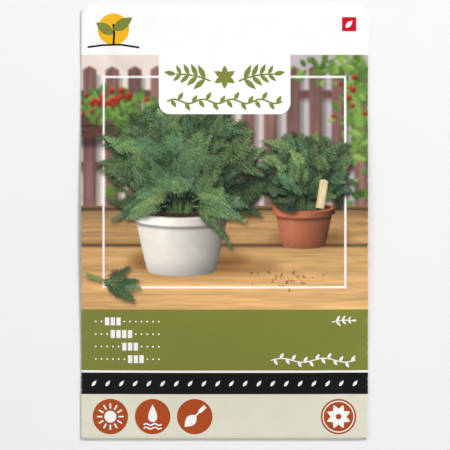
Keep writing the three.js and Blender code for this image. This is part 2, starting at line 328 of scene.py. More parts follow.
def folded(packet, u, v):
    """Where the point (u, v) of the flat blank's middle surface lies. Across, the blank runs over the
    front, round a half circle at each side fold and back along a wing. Up and down, a flap goes round its
    own half circle."""
    folds = fold_places(packet)
    side, past = np.sign(u), np.abs(u) - folds.side
    turn = np.pi / 2 - np.clip(past, 0, folds.arc) / packet.fold_radius
    on_wing = folds.side - (past - folds.arc)
    in_fold = folds.side + packet.fold_radius * np.cos(turn)
    x = np.where(past <= 0, u, side * np.where(past < folds.arc, in_fold, on_wing))
    y = np.clip(v, -folds.end, folds.end)
    low = back_face(packet, folds.side, y) + packet.paper / 2
    climb = np.where(side < 0, ease(-on_wing, -packet.lap_ramp, -packet.lap_top), 0)
    wing = back_face(packet, x, y) + packet.paper / 2 + climb * (packet.paper + packet.ply_gap)
    round_fold = low + packet.fold_radius * (1 + np.sin(turn))
    z = np.where(past <= 0, front_middle(packet, x, y), np.where(past < folds.arc, round_fold, wing))

    beyond = np.abs(v) - folds.end
    flap = beyond > 100 * NEXT_TO
    roll = np.pi / 2 - np.clip(beyond, 0, folds.flap_arc) / folds.flap_radius
    on_flap = np.maximum(beyond - folds.flap_arc, 0)
    depth = np.where(v < 0, packet.bottom_flap, packet.top_flap) - folds.flap_radius - packet.paper / 2
    narrow = 1 - packet.flap_taper * on_flap / depth / packet.flap_width
    flap_y = np.sign(v) * (folds.end + folds.flap_radius * np.cos(roll) - on_flap)
    flap_z = packet.paper / 2 + folds.flap_radius * (1 + np.sin(roll))
    return np.stack([np.where(flap, u * narrow, x), np.where(flap, flap_y, y), np.where(flap, flap_z, z)], -1)


def skin(packet, u, v, side):
    """The blank's points moved half the paper's thickness out (side 1) or in (side -1) along the surface's
    normal, which is the cross product of small steps along u and v."""
    step = 0.002
    along_u = folded(packet, u + step, v) - folded(packet, u - step, v)
    along_v = folded(packet, u, v + step) - folded(packet, u, v - step)
    normal = np.cross(along_u, along_v)
    normal /= np.linalg.norm(normal, axis=-1, keepdims=True)
    return folded(packet, u, v) + side * packet.paper / 2 * normal


# Outlines of the print, in millimetres on the front. Each is a closed loop of points.


def rectangle(x0, y0, x1, y1):
    """Four corners, counter-clockwise."""
    return np.array([(x0, y0), (x1, y0), (x1, y1), (x0, y1)], float)


def disc(x, y, radius, sides=40):
    """Points at even angles round a circle."""
    angle = np.arange(sides) * 2 * np.pi / sides
    return np.stack([x + radius * np.cos(angle), y + radius * np.sin(angle)], 1)


def rounded(x0, y0, x1, y1, radius, steps=6):
    """A rectangle with a quarter circle at each corner."""
    quarter = np.linspace(0, np.pi / 2, steps)
    loops = []
    for corner_x, corner_y, turn in ((x1, y1, 0), (x0, y1, 1), (x0, y0, 2), (x1, y0, 3)):
        angle = quarter + turn * np.pi / 2
        middle_x = corner_x - radius if corner_x == x1 else corner_x + radius
        middle_y = corner_y - radius if corner_y == y1 else corner_y + radius
        loops.append(np.stack([middle_x + radius * np.cos(angle), middle_y + radius * np.sin(angle)], 1))
    return np.concatenate(loops)


def leaf(x, y, size, width, angle, steps=9):
    """A pointed oval from (x, y) along angle: half its width is a skewed sine of the way along."""
    t = np.linspace(0, 1, steps)
    half = width / 2 * np.sin(np.pi * t**0.85)
    along = np.concatenate([t, t[-2:0:-1]]) * size
    aside = np.concatenate([half, -half[-2:0:-1]])
    cosine, sine = math.cos(angle), math.sin(angle)
    return np.stack([x + along * cosine - aside * sine, y + along * sine + aside * cosine], 1)


def ribbon(points, width):
    """A line of even width: its points moved half the width to each side."""
    points = np.array(points, float)
    way = np.gradient(points, axis=0)
    way /= np.linalg.norm(way, axis=1, keepdims=True)
    off = np.stack([-way[:, 1], way[:, 0]], 1) * width / 2
    return np.concatenate([points + off, (points - off)[::-1]])


def sprig(x0, y0, x1, y1, size, pairs, bow, stem):
    """A stem from one point to another, bowed by a sine, with pairs of leaves that get smaller towards its
    tip, and a leaf at its end."""
    t = np.linspace(0, 1, 9)
    span = np.array([x1 - x0, y1 - y0])
    across = np.array([-span[1], span[0]])
    line = np.array([x0, y0]) + t[:, None] * span + (bow * np.sin(np.pi * t))[:, None] * across
    heading = math.atan2(span[1], span[0])
    splay = 0.92
    shapes = [ribbon(line, stem)]
    for k in range(pairs):
        s = (k + 0.7) / (pairs + 0.3)
        root = np.array([np.interp(s, t, line[:, i]) for i in (0, 1)])
        long, wide = size * (1 - 0.45 * s), size * 0.34 * (1 - 0.4 * s)
        shapes += [leaf(*root, long, wide, heading + side * splay) for side in (-1, 1)]
    shapes.append(leaf(*line[-1], size * 0.7, size * 0.28, heading))
    return shapes


def vine(x0, x1, y, waves, swing, size, count, stem):
    """A line that waves as a sine, with leaves to either side in turn."""

    def height(along):
        """The line's height at a place along it."""
        return y + swing * np.sin(waves * np.pi * (along - x0) / (x1 - x0))

    line = np.linspace(x0, x1, 61)
    shapes = [ribbon(np.stack([line, height(line)], 1), stem)]
    first, last = x0 + 0.035 * (x1 - x0), x1 - 0.05 * (x1 - x0)
    for k, x in enumerate(np.linspace(first, last, count)):
        shapes.append(leaf(x, height(x), size, size * 0.46, 1.0 if k % 2 else -1.0))
    return shapes


def flower(x, y, size, petals):
    """Petals round a point."""
    return [leaf(x, y, size, size * 0.5, (k + 0.5) * 2 * np.pi / petals) for k in range(petals)]


def emblem(x, y):
    """A sprout in front of a rising sun, at the front's upper left."""
    sun = disc(x, y + 0.6, 4.4)
    ground = ribbon([(x - 7.2, y - 4.4), (x - 3, y - 3.8), (x + 2, y - 3.7), (x + 7.2, y - 4.5)], 0.55)
    stem = ribbon([(x, y - 3.9), (x + 0.2, y - 0.7), (x, y + 2.1)], 0.6)
    left, right = leaf(x, y - 0.8, 5.9, 2.9, 2.55), leaf(x, y + 0.3, 6.4, 3.1, 0.6)
    return [(sun, "gold"), (ground, "black"), (stem, "black"), (left, "olive"), (right, "olive")]


def tab_ornament(x, y):
    """Two sprigs that spread from a small flower, over a vine, on the white tab."""
    stem = 0.5
    shapes = flower(x, y + 2.2, 3.3, 6)
    for side in (-1, 1):
        root, tip = (x + side * 3.9, y + 1.1), (x + side * 13.6, y + 3.0)
        shapes += sprig(*root, *tip, size=4.8, pairs=4, bow=side * 0.06, stem=stem)
    shapes += vine(x - 16.0, x + 16.0, y - 4.6, waves=8, swing=0.6, size=2.6, count=16, stem=stem)
    return [(shape, "olive") for shape in shapes]


def month_rows(x, y, rows):
    """Rows of twelve cells as on a sowing calendar. A row's named months are full and the others a dot."""
    pitch, wide, tall, gap, dot = 3.5, 1.2, 2.2, 0.4, 0.26
    shapes = []
    for row, months in enumerate(rows):
        top = y - row * pitch
        for month in range(12):
            left = x + month * (wide + gap)
            if month in months:
                shapes.append(rectangle(left, top - tall, left + wide, top))
            else:
                shapes.append(disc(left + wide / 2, top - tall / 2, dot, 10))
    return shapes


def sun_sign(x, y):
    """A sun with twelve rays."""
    core, inner, outer = 1.65, 2.25, 3.7
    shapes = [disc(x, y, core)]
    for angle in np.arange(12) * np.pi / 6:
        way = math.cos(angle), math.sin(angle)
        shapes.append(ribbon([(x + r * way[0], y + r * way[1]) for r in (inner, outer)], 0.42))
    return [(shape, "paper") for shape in shapes]


def water_sign(x, y):
    """A drop over two waves. Half the drop's width is a sine times a power of the sine of half the angle."""
    t = np.linspace(0, 2 * np.pi, 41)[:-1]
    shapes = [np.stack([x + 1.75 * np.sin(t) * np.sin(t / 2) ** 1.4, y + 1.0 + 2.5 * np.cos(t)], 1)]
    for low in (-2.2, -3.2):
        wave = [(x + s, y + low + 0.24 * math.sin(s * 2.6)) for s in np.linspace(-2.5, 2.5, 25)]
        shapes.append(ribbon(wave, 0.38))
    return [(shape, "paper") for shape in shapes]


def trowel_sign(x, y):
    """A planting trowel, its blade down to the left."""
    blade = leaf(x + 0.4, y + 0.4, 4.6, 2.9, -3 * np.pi / 4)
    neck = ribbon([(x + 0.1, y + 0.1), (x + 1.5, y + 1.5)], 0.42)
    grip = ribbon([(x + 1.3, y + 1.3), (x + 2.9, y + 2.9)], 1.05)
    return [(shape, "paper") for shape in (blade, neck, grip)]


def rosette_sign(x, y):
    """A ring round a flower with eight petals."""
    ring = [(disc(x, y, 4.45, 48), "paper"), (disc(x, y, 4.15, 48), "rust")]
    return ring + [(petal, "paper") for petal in flower(x, y, 3.5, 8)] + [(disc(x, y, 0.8, 16), "rust")]


def disc_signs(layout, y, signs):
    """A row of rust discs with signs. signs gives each disc's x and the function that draws its sign."""
    shapes = []
    for x, sign in signs:
        shapes += [(disc(x, y, layout.disc, 64), "rust"), *sign(x, y)]
    return shapes


def front_print(layout, reach):
    """The front's print as (outline, ink) pairs, later ones over earlier ones. reach is how far the inks
    run past the middle to each side."""
    tab_top = layout.picture_top + layout.tab_corner
    shapes = [
        (rectangle(-reach, layout.picture_low, reach, layout.picture_top), "picture"),
        (rectangle(-reach, layout.panel_low, reach, layout.picture_low), "olive"),
        (rectangle(-reach, layout.band_low, reach, layout.band_top), "black"),
        (rounded(-layout.tab_width, layout.tab_low, layout.tab_width, tab_top, layout.tab_corner), "paper"),
        *tab_ornament(0.0, 38.6),
        *emblem(-31.0, 53.6),
        (rectangle(32.7, 53.65, 36.7, 57.6), "red"),
    ]
    sowing, first_sowing = [{2, 3, 4}, {3, 4, 5, 6}, {5, 6, 7}, {6, 7, 8}], (-36.5, -26.1)
    band_middle = (layout.band_top + layout.band_low) / 2
    seeds = -36.4 + 3.83 * np.arange(20)
    white = [
        leaf(33.75, 54.65, 2.7, 1.3, 0.8),
        *month_rows(*first_sowing, sowing),
        *sprig(29.9, -27.4, 35.4, -27.0, size=2.1, pairs=3, bow=0.06, stem=0.3),
        *vine(12.9, 36.5, -38.0, waves=4, swing=0.55, size=1.9, count=14, stem=0.3),
        *(leaf(x - 0.62, band_middle - 0.8, 2.05, 0.85, 0.9) for x in seeds),
    ]
    shapes += [(mark, "paper") for mark in white]
    signs = ((-31.86, sun_sign), (-20.07, water_sign), (-8.33, trowel_sign), (31.75, rosette_sign))
    return shapes + disc_signs(layout, layout.disc_height, signs)


def back_print(layout, folds, reach):
    """The back's print on the two wings: a band, a sowing calendar, a row of signs and a plain field. It is
    drawn as seen from behind, where a wing lies in the blank's own direction but shifted. The right wing is
    the outer one and shows as far as its edge, past the middle. The left one's bands stop short of its
    glued edge."""
    shift, glued = 2 * folds.side + folds.arc, 3
    shapes = []
    for low, high in ((layout.back_low, layout.back_top), (layout.panel_low, layout.band_top)):
        shapes.append((rectangle(reach, low, folds.wing, high), "olive"))
        shapes.append((rectangle(glued - folds.wing, low, -reach, high), "olive"))
    calendar = (({2, 3, 4, 7}, "olive"), ({3, 4, 5, 6}, "gold"), ({5, 6, 7, 8, 9}, "rust"))
    pitch, wide, tall = 2.35, 2.1, 4.6
    for row, (months, colour) in enumerate(calendar):
        for month in range(12):
            left, top = 8 + pitch * month - shift, 27 - 7.5 * row
            cell = rectangle(left, top - tall, left + wide, top)
            shapes.append((cell, colour if month in months else "beige"))
    signs = ((shift - 30, sun_sign), (shift - 17, water_sign), (shift - 4, trowel_sign))
    shapes += disc_signs(layout, 22, signs)
    vines = (shift - 35, shift + 1, 6, 8, 16), (8 - shift, 36 - shift, 0, 6, 12)
    for start, end, y, waves, count in vines:
        stretch = vine(start, end, y, waves, swing=0.7, size=2.4, count=count, stem=0.35)
        shapes += [(shape, "olive") for shape in stretch]
    shapes.append((rounded(shift - 35, -32, shift - 3, -12, 2), "beige"))
    return shapes


def divided(outline, pitch):
    """The outline with points added along its longer edges, at even steps of about the pitch."""
    way = np.roll(outline, -1, axis=0) - outline
    parts = np.maximum(np.round(np.linalg.norm(way, axis=1) / pitch), 1).astype(int)
    edge = np.repeat(np.arange(len(outline)), parts)
    share = (np.arange(len(edge)) - np.repeat(np.cumsum(parts) - parts, parts)) / parts[edge]
    return outline[edge] + share[:, None] * way[edge]


def inside(outline, points):
    """Which points lie inside a closed outline: a line to the right crosses it an odd number of times."""
    x, y = points[:, :1], points[:, 1:]
    x0, y0 = outline.T
    x1, y1 = np.roll(outline, -1, axis=0).T
    rise = np.where(y1 == y0, 1e-12, y1 - y0)
    crosses = ((y0 > y) != (y1 > y)) & (x < (x1 - x0) * (y - y0) / rise + x0)
    return crosses.sum(1) % 2 == 1


# The picture on the front, worked out as a fine grid of colours from formulas


class Canvas:
    """A picture under work: the sRGB shares of its samples, and their places x and y in millimetres."""

    finer = 4  # samples to each of the mesh's points, each way
    batch = 400_000  # dots drawn at once, so that they fit in memory

    def __init__(self, left, low, right, top, pitch):
        """An empty picture over an area whose points on the mesh lie pitch apart."""
        self.step = pitch / self.finer
        self.pitch = pitch
        self.left, self.low = left, low
        self.cols = int(math.ceil((right - left) / pitch)) * self.finer
        self.rows = int(math.ceil((top - low) / pitch)) * self.finer
        xs = (left + (np.arange(self.cols) + 0.5) * self.step).astype(np.float32)
        ys = (low + (np.arange(self.rows) + 0.5) * self.step).astype(np.float32)
        self.x, self.y = np.meshgrid(xs, ys)
        self.colours = np.ones((self.rows, self.cols, 3), np.float32)

    def lay(self, cover, colour):
        """Puts a colour on the picture, as far as cover says, from 0 to 1."""
        self.colours += cover[..., None] * (colour - self.colours)

    def dim(self, shade, depth=(1, 1, 1)):
        """Darkens the picture by a shade from 0 to 1, by its own depth in red, green and blue."""
        self.colours *= 1 - shade[..., None] * np.array(depth)

    def edge(self, distance, blur=1.0):
        """1 inside, 0 outside and a soft step of blur samples between. The distance is negative inside."""
        return np.clip(0.5 - distance / (blur * self.step), 0, 1)

    def soften(self, image, spread):
        """Blurs an image by three running means along each axis, which come close to a bell curve."""
        reach = max(1, int(round(spread / self.step)))
        for axis in (0, 1):
            count = image.shape[axis]
            pad = [(0, 0)] * image.ndim
            pad[axis] = (reach + 1, reach)
            for _ in range(3):
                total = np.cumsum(np.pad(image, pad, mode="edge"), axis=axis, dtype=np.float64)
                ahead = np.take(total, np.arange(2 * reach + 1, 2 * reach + 1 + count), axis=axis)
                behind = np.take(total, np.arange(count), axis=axis)
                image = ((ahead - behind) / (2 * reach + 1)).astype(np.float32)
        return image

    def threads(self, start, end, width, colour, shadow=0.0):
        """Draws round threads, later ones over earlier ones, each as a row of dots. shadow darkens what
        lies under them, below and to the right."""
        count = np.ceil(np.hypot(*(end - start).T) / (0.9 * self.step)).astype(int) + 1
        last = np.cumsum(count)
        layer = np.zeros((self.rows * self.cols, 3), np.float32)
        covered = np.zeros(self.rows * self.cols, bool)
        first = 0
        while first < len(count):
            drawn = last[first - 1] if first else 0
            until = max(int(np.searchsorted(last, drawn + self.batch, side="right")), first + 1)
            part = slice(first, until)
            self.dots(start[part], end[part], width[part], colour[part], count[part], layer, covered)
            first = until
        if shadow:
            mask = covered.reshape(self.rows, self.cols).astype(np.float32)
            fall, spread = 0.7, 0.45
            down = int(round(fall / self.step))
            self.dim(shadow * self.soften(np.roll(mask, (-down, down // 2), (0, 1)), spread))
        self.colours.reshape(-1, 3)[covered] = layer[covered]

    def dots(self, start, end, width, colour, count, layer, covered):
        """Draws each thread as count dots at even steps. A sample that dots cover takes the last one's
        colour, made lighter or darker as far as the sample lies to the dot's upper left or lower right."""
        shine = 0.25
        thread = np.repeat(np.arange(len(count)), count)
        in_thread = np.arange(len(thread)) - np.repeat(np.cumsum(count) - count, count)
        share = in_thread / np.maximum(count[thread] - 1, 1)
        at = start[thread] + share[:, None] * (end - start)[thread]
        at = (at - (self.left, self.low)) / self.step - 0.5
        near = np.round(at).astype(int)
        radius = width[thread] / 2 / self.step
        margin, towards_light = 0.7, np.array([-0.5, 0.86])
        most = int(math.ceil(radius.max() + margin))
        reach = np.stack(np.meshgrid(*[np.arange(-most, most + 1)] * 2), -1).reshape(-1, 2)
        reach = reach[(reach**2).sum(1) <= (radius.max() + margin) ** 2]
        col, row = near[:, :1] + reach[:, 0], near[:, 1:] + reach[:, 1]
        off = (col - at[:, :1]) ** 2 + (row - at[:, 1:]) ** 2
        on_picture = (col >= 0) & (col < self.cols) & (row >= 0) & (row < self.rows)
        on = (off <= (radius**2)[:, None]) & on_picture
        owner = np.full(self.rows * self.cols, -1, np.int32)
        owner[(row * self.cols + col)[on]] = np.broadcast_to(np.arange(len(thread))[:, None], on.shape)[on]
        hit = np.flatnonzero(owner >= 0)
        by = owner[hit]
        side = np.stack([hit % self.cols, hit // self.cols], 1) - at[by]
        lit = np.clip((side @ towards_light) / np.maximum(radius[by], 0.5), -1, 1)
        layer[hit] = colour[thread[by]] * (1 + shine * lit)[:, None]
        covered[hit] = True


def wander(x, y, seed):
    """Smooth random values from 0 to 1: random numbers on a lattice one unit apart, blended by an S."""
    size = 64
    lattice = np.random.default_rng(seed).random((size, size)).astype(np.float32)
    i, j = np.floor(x).astype(int), np.floor(y).astype(int)
    fx, fy = ease(x - i, 0, 1), ease(y - j, 0, 1)
    left, right, below, above = i % size, (i + 1) % size, j % size, (j + 1) % size
    low = lattice[below, left] * (1 - fx) + lattice[below, right] * fx
    high = lattice[above, left] * (1 - fx) + lattice[above, right] * fx
    return low * (1 - fy) + high * fy


def frond(seed, pairs=8, barbs=4):
    """A feathery leaf of unit length along x, as threads: their starts, ends, order of branching and place
    along the stem. Branches leave the stem in pairs, barbs leave the branches in pairs, and finer barbs
    leave those."""
    rng = np.random.default_rng(seed)
    stem, joints = 0, 8
    rows = [((x, 0), (x + 1 / joints, 0), stem, x) for x in np.arange(joints) / joints]

    def grow(root, size, heading, order, along):
        """Adds a thread of this size and heading, and gives the place of its tip."""
        tip = root + size * np.array((math.cos(heading), math.sin(heading)))
        rows.append((root, tip, order, along))
        return tip

    def jitter(degrees):
        """A random turn of up to so many degrees to either side."""
        return rng.uniform(-degrees, degrees)

    for k in range(pairs):
        t = 0.16 + 0.8 * k / (pairs - 0.6)
        for side in (-1, 1):
            size = (0.40 * (1 - t) ** 0.8 + 0.05) * rng.uniform(0.8, 1.15)
            heading = side * math.radians(56 - 24 * t + jitter(6))
            root = np.array((t + rng.uniform(-0.01, 0.01), 0.0))
            tip = grow(root, size, heading, 1, t)
            count = max(2, int(round(barbs * (size / 0.4) ** 0.6)))
            for s in np.linspace(0.22, 0.96, count):
                for turn in (-1, 1):
                    fine = (0.36 * size * (1.12 - s) + 0.022) * rng.uniform(0.75, 1.2)
                    way = heading + turn * math.radians(44 + jitter(8))
                    base = root + s * (tip - root)
                    point = grow(base, fine, way, 2, t)
                    for third in (-1, 1) if fine > 0.05 else ():
                        last = way + third * math.radians(38 + jitter(8))
                        grow((base + point) / 2, 0.45 * fine, last, 3, t)
    return [np.array([row[i] for row in rows], float) for i in range(4)]


FRONDS = [frond(seed) for seed in range(8)]
DARK_GREEN = shares("#16231a")
LIGHT_GREEN = shares("#8fab6a")
# The widths of a frond's stem, branches, barbs and finer barbs, in millimetres.
THREAD_WIDTHS = 0.18 * np.array([1.6, 1.0, 0.85, 0.72])


def draw_fronds(canvas, rng, at, shadow, light=LIGHT_GREEN):
    """Draws many fronds in the order given. at holds one row for each: base x and y, length, heading, bend,
    how far it is turned edge on, droop, and how light it is. Some are a cooler green than others."""
    kinds = rng.integers(len(FRONDS), size=len(at))
    parts = []
    for kind, (start, end, order, along) in enumerate(FRONDS):
        chosen = np.flatnonzero(kinds == kind)
        x, y, size, heading, bend, squash, droop, lit = (at[chosen, i][:, None] for i in range(8))

        def laid(local):
            """The frond's points squashed and bent, turned to its heading, and drooping as x squared."""
            lx = local[None, :, 0]
            ly = local[None, :, 1] * squash + bend * lx**2
            cosine, sine = np.cos(heading), np.sin(heading)
            across = x + size * (cosine * lx - sine * ly)
            up = y + size * (sine * lx + cosine * ly - droop * lx**2)
            return np.stack([across, up], -1).reshape(-1, 2)

        shape = (len(chosen), len(order))
        shade = np.clip(lit + 0.10 * (order >= 2) + 0.16 * along + rng.uniform(-0.24, 0.24, shape), 0, 1.15)
        cool = rng.uniform(0, 1, (len(chosen), 1, 1)) ** 2 * np.array([-0.20, -0.05, 0.10])
        colour = DARK_GREEN + shade[..., None] * (light * (1 + cool) - DARK_GREEN)
        taper = 1 - 0.35 * along * (order == 0)
        width = np.broadcast_to(THREAD_WIDTHS[order.astype(int)] * taper, shape)
        frond_number = np.repeat(chosen, shape[1])
        parts.append((laid(start), laid(end), width.ravel(), colour.reshape(-1, 3), frond_number))
    start, end, width, colour, frond_number = (np.concatenate(part) for part in zip(*parts))
    order = np.argsort(frond_number, kind="stable")
    canvas.threads(start[order], end[order], width[order], colour[order], shadow)


def draw_plant(canvas, rng, count, foot, reach, rise, light=LIGHT_GREEN):
    """A bushy herb: a dark core, stalks that fan out from the foot, and fronds in layers from back to
    front. Each frond starts part of the way out along its stalk and points on outwards, lighter above,
    outside and in front."""
    layers, stalks = 7, 30
    x, y = canvas.x, canvas.y
    far = np.hypot((x - foot[0]) / (reach * 0.66), (y - foot[1] - 1) / (rise * 0.7))
    core = ease(-far, -1.0, -0.55) * (y > foot[1] - 0.5) * (0.75 + 0.5 * wander(x * 0.7, y * 0.7, 41))
    core *= ease(0.35 * reach + 1.3 * (y - foot[1]) - np.abs(x - foot[0]), 0, 2)
    canvas.lay(np.clip(core, 0, 0.96), DARK_GREEN * 0.55)
    lean = rng.uniform(-0.9, 0.9, stalks)
    root_x = foot[0] + 0.33 * reach * lean * rng.uniform(0.3, 1, stalks)
    root = np.stack([root_x, np.full(stalks, foot[1] - 1.0)], 1)
    tip = np.stack([foot[0] + 0.8 * reach * np.sin(lean), foot[1] + 0.75 * rise * np.cos(lean)], 1)
    stalk = (DARK_GREEN + 0.6 * (light - DARK_GREEN)) * rng.uniform(0.75, 1.15, (stalks, 1))
    canvas.threads(root, tip, rng.uniform(0.3, 0.55, stalks), stalk)

    order = np.linspace(0, 1, count)
    away = np.clip(rng.normal(0, 0.55, count), -1.5, 1.5)
    out = rng.uniform(0.05, 0.74, count) ** 0.8
    radius = np.hypot(reach * np.sin(away), rise * np.cos(away))
    base_x = foot[0] + radius * out * np.sin(away) + rng.normal(0, 0.6, count)
    base_y = foot[1] + radius * out * np.cos(away) + rng.normal(0, 0.6, count)
    heading = np.pi / 2 - away + rng.normal(0, 0.36, count)
    crown = 0.5 * np.cos(away + 0.45)
    lit = 0.26 * order + 0.32 * out * (crown + 0.5) + 0.26 * crown + rng.normal(-0.02, 0.12, count)
    size, bend = radius * rng.uniform(0.26, 0.46, count), rng.normal(0, 0.18, count)
    squash, droop = rng.uniform(0.45, 1, count), rng.uniform(0, 0.3, count)
    at = np.stack([base_x, base_y, size, heading, bend, squash, droop, lit], 1)
    for part in np.array_split(at, layers):
        draw_fronds(canvas, rng, part, 0.62, light)


def draw_leaves(canvas, rng, count, middle, spread, size, dark, light):
    """A clump of plain oval leaves, each lighter on one side."""
    dark, light = shares(dark), shares(light)
    xs, ys = canvas.x[0], canvas.y[:, 0]
    for k in range(count):
        x, y = middle[0] + rng.normal(0, spread[0]), middle[1] + rng.normal(0, spread[1])
        turn, long = rng.uniform(0, np.pi), size * rng.uniform(0.6, 1.2)
        wide, shade = long * rng.uniform(0.35, 0.6), rng.uniform(-0.2, 0.2)
        rows, cols = np.searchsorted(ys, (y - long, y + long)), np.searchsorted(xs, (x - long, x + long))
        part = slice(*rows), slice(*cols)
        along, aside = turned(canvas.x[part] - x, canvas.y[part] - y, turn)
        cover = canvas.edge((np.hypot(along / long, aside / wide) - 1) * long, 2)
        lit = np.clip(0.25 + 0.5 * k / count + 0.25 * aside / wide * math.cos(turn) + shade, 0, 1)
        patch = canvas.colours[part]
        patch += cover[..., None] * (dark + lit[..., None] * (light - dark) - patch)


def draw_pot(canvas, middle, top, bottom, top_half, low_half, rim, glaze, colour):
    """A round pot seen a little from above: a tapering side shaded as a cylinder lit from the left, a rim
    whose front bows down, and an ellipse of soil. glaze is 0 on a matt pot and 1 on a shiny one."""
    colour = shares(colour)
    x, y = canvas.x - middle, canvas.y
    flat = 0.17
    share = np.clip((y - bottom) / (top - bottom), 0, 1)
    half = low_half + (top_half - low_half) * share**0.9
    foot = bottom - low_half * flat * np.sqrt(np.clip(1 - (x / low_half) ** 2, 0, 1))
    turn = np.clip(x / half, -1, 1)
    towards = np.sqrt(1 - turn**2)
    lit = np.clip(0.64 + 0.42 * (0.66 * towards - 0.6 * turn), 0, 1.2) * (1 - 0.2 * ease(bottom - y, -4, 3))
    cloud = 1 + (0.05 - 0.04 * glaze) * (wander(x * 0.9, y * 0.9, 15) + wander(x * 3, y * 3, 16) - 1)
    shine = bell(turn + 0.45, 0.12) * ease(y, bottom + 2, top - 3) * glaze * 0.6
    body = colour * (lit * cloud)[..., None]
    body += shine[..., None] * (1 - body)
    outside = np.maximum(np.abs(x) - half, np.maximum(foot - y, y - top))
    canvas.lay(canvas.edge(outside), np.clip(body, 0, 1))
    wide = top_half + 0.5
    sag = top_half * flat
    lip = top - rim - sag * np.sqrt(np.clip(1 - (x / wide) ** 2, 0, 1))
    canvas.dim(0.35 * bell(y - lip + 0.5, 0.5) * (y < lip) * (np.abs(x) < half))
    band_lit = np.clip(0.6 + 0.55 * (0.7 * towards - 0.6 * turn), 0, 1.3)
    band = ((y > lip) & (y < top) & (np.abs(x) < wide)).astype(np.float32)
    canvas.lay(band, np.clip(colour * (band_lit * cloud)[..., None], 0, 1))
    canvas.lay(canvas.edge((np.hypot(x / wide, (y - top) / sag) - 1) * sag), colour * 0.96)
    soil = shares("#3a2a1c") * (0.7 + 0.6 * wander(x * 2.2, y * 2.2, 5)[..., None])
    canvas.lay(canvas.edge((np.hypot(x / (top_half - 0.6), (y - top) / (sag - 0.45)) - 1) * sag), soil)


def draw_window_box(canvas, x0, y0, x1, y1):
    """A front of two horizontal boards, each of its own tone, with a dark gap, grain along them and a
    shadow below."""
    boards, colour, shadow_half = 2, shares("#5b3f36"), 1.2
    y = canvas.y
    x, half_x, half_y = canvas.x - (x0 + x1) / 2, (x1 - x0) / 2, (y1 - y0) / 2
    level = (y - y0) / (y1 - y0) * boards
    row = np.floor(level)
    gap = bell(np.minimum(level - row, row + 1 - level), 0.07)
    grain = 0.75 + 0.5 * wander(canvas.x * 0.15, y * 3.5, 32)
    tone = (0.8 + 0.4 * wander(row * 3.7, row * 0 + 0.4, 31)) * grain
    below = past_box(x - 1, y - y0 + shadow_half, half_x, shadow_half) < 0
    canvas.dim(canvas.soften(0.5 * below, 0.6))
    front = canvas.edge(past_box(x, y - (y0 + y1) / 2, half_x, half_y))
    canvas.lay(front, colour * (tone * (1 - 0.55 * gap))[..., None])


def draw_fence(canvas):
    """A pale wall, darker to the right, behind upright slats with pointed tops on two rails. Each slat has
    a tone and a height of its own, and throws a shadow to the right."""
    x, y = canvas.x, canvas.y
    pale, dull = shares("#ecdcd2"), shares("#bfb6b8")
    wall = pale + ease(x, -20, 34)[..., None] * (dull - pale)
    canvas.colours[:] = wall * (0.93 + 0.1 * wander(x * 0.05, y * 0.05, 1)[..., None])
    pitch, width, rails, rail_half = 6.3, 3.7, (16.0, 36.0), 1.2
    slat = np.floor((x + 3) / pitch)
    aside = x + 3 - (slat + 0.5) * pitch
    top = 43.5 - np.abs(aside) * 0.55 + 1.0 * wander(slat * 5.1, slat * 0, 4)
    canvas.dim(0.26 * (np.maximum(np.abs(aside - 1.1) - width / 2, y - top + 1.2) < 0))
    for rail in rails:
        bar = shares("#6d4c48") * (0.9 + 0.2 * wander(x * 0.2, y * 2, 8))[..., None]
        canvas.lay(canvas.edge(np.abs(y - rail) - rail_half), bar)
        canvas.dim(0.25 * bell(y - rail + 1.7, 0.5) * (y < rail - rail_half))
    tone = (0.82 + 0.36 * wander(slat * 3.3, slat * 0 + 0.5, 3)) * (0.84 + 0.3 * wander(x * 1.8, y * 0.09, 6))
    wood = shares("#8f6862") * (tone * (0.95 - 0.16 * ease(aside, 0.5, width / 2)))[..., None]
    canvas.lay(canvas.edge(np.maximum(np.abs(aside) - width / 2, y - top)), wood)


# The clumps of leaves behind the table: how many, their middle and spread across and up, a leaf's size, and
# the greens that it runs between.
CLUMPS = (
    (170, (-33, 32.5), (6.5, 2.2), 1.5, "#24401d", "#8db653"),
    (60, (-27, 29), (5, 2.0), 1.2, "#24401d", "#7fa84b"),
    (150, (37, 31), (2.6, 9), 1.7, "#2f4f22", "#9bbc5c"),
    (50, (30, 43), (6, 1.6), 1.5, "#2f4f22", "#9bbc5c"),
    (120, (2, 9), (30, 1.5), 1.6, "#263f1f", "#6f9344"),
)

# The red flowers in the window box and on the climbing plants: how many, their middle and their spread.
FLOWERS = ((34, (-33, 34.5), (5.5, 1.8)), (9, (36, 38), (3, 4)))


def draw_garden(canvas, rng):
    """The fence, a window box with red flowers on it, and climbing plants, all a little out of focus."""
    x, y = canvas.x, canvas.y
    draw_fence(canvas)
    draw_window_box(canvas, -46.0, 24.0, -21.5, 30.5)
    for clump in CLUMPS:
        draw_leaves(canvas, rng, *clump)
    red = shares("#d8412f")
    for count, middle, spread in FLOWERS:
        for _ in range(count):
            fx, fy = rng.normal(middle[0], spread[0]), rng.normal(middle[1], spread[1])
            size = rng.uniform(0.5, 0.85)
            ball = np.clip(0.72 + 0.4 * (y - fy - 0.4 * (x - fx)) / size, 0.5, 1.2)[..., None]
            canvas.lay(canvas.edge(np.hypot(x - fx, y - fy) - size, 3), np.clip(red * ball, 0, 1))
    canvas.colours = canvas.soften(canvas.colours, 0.2)


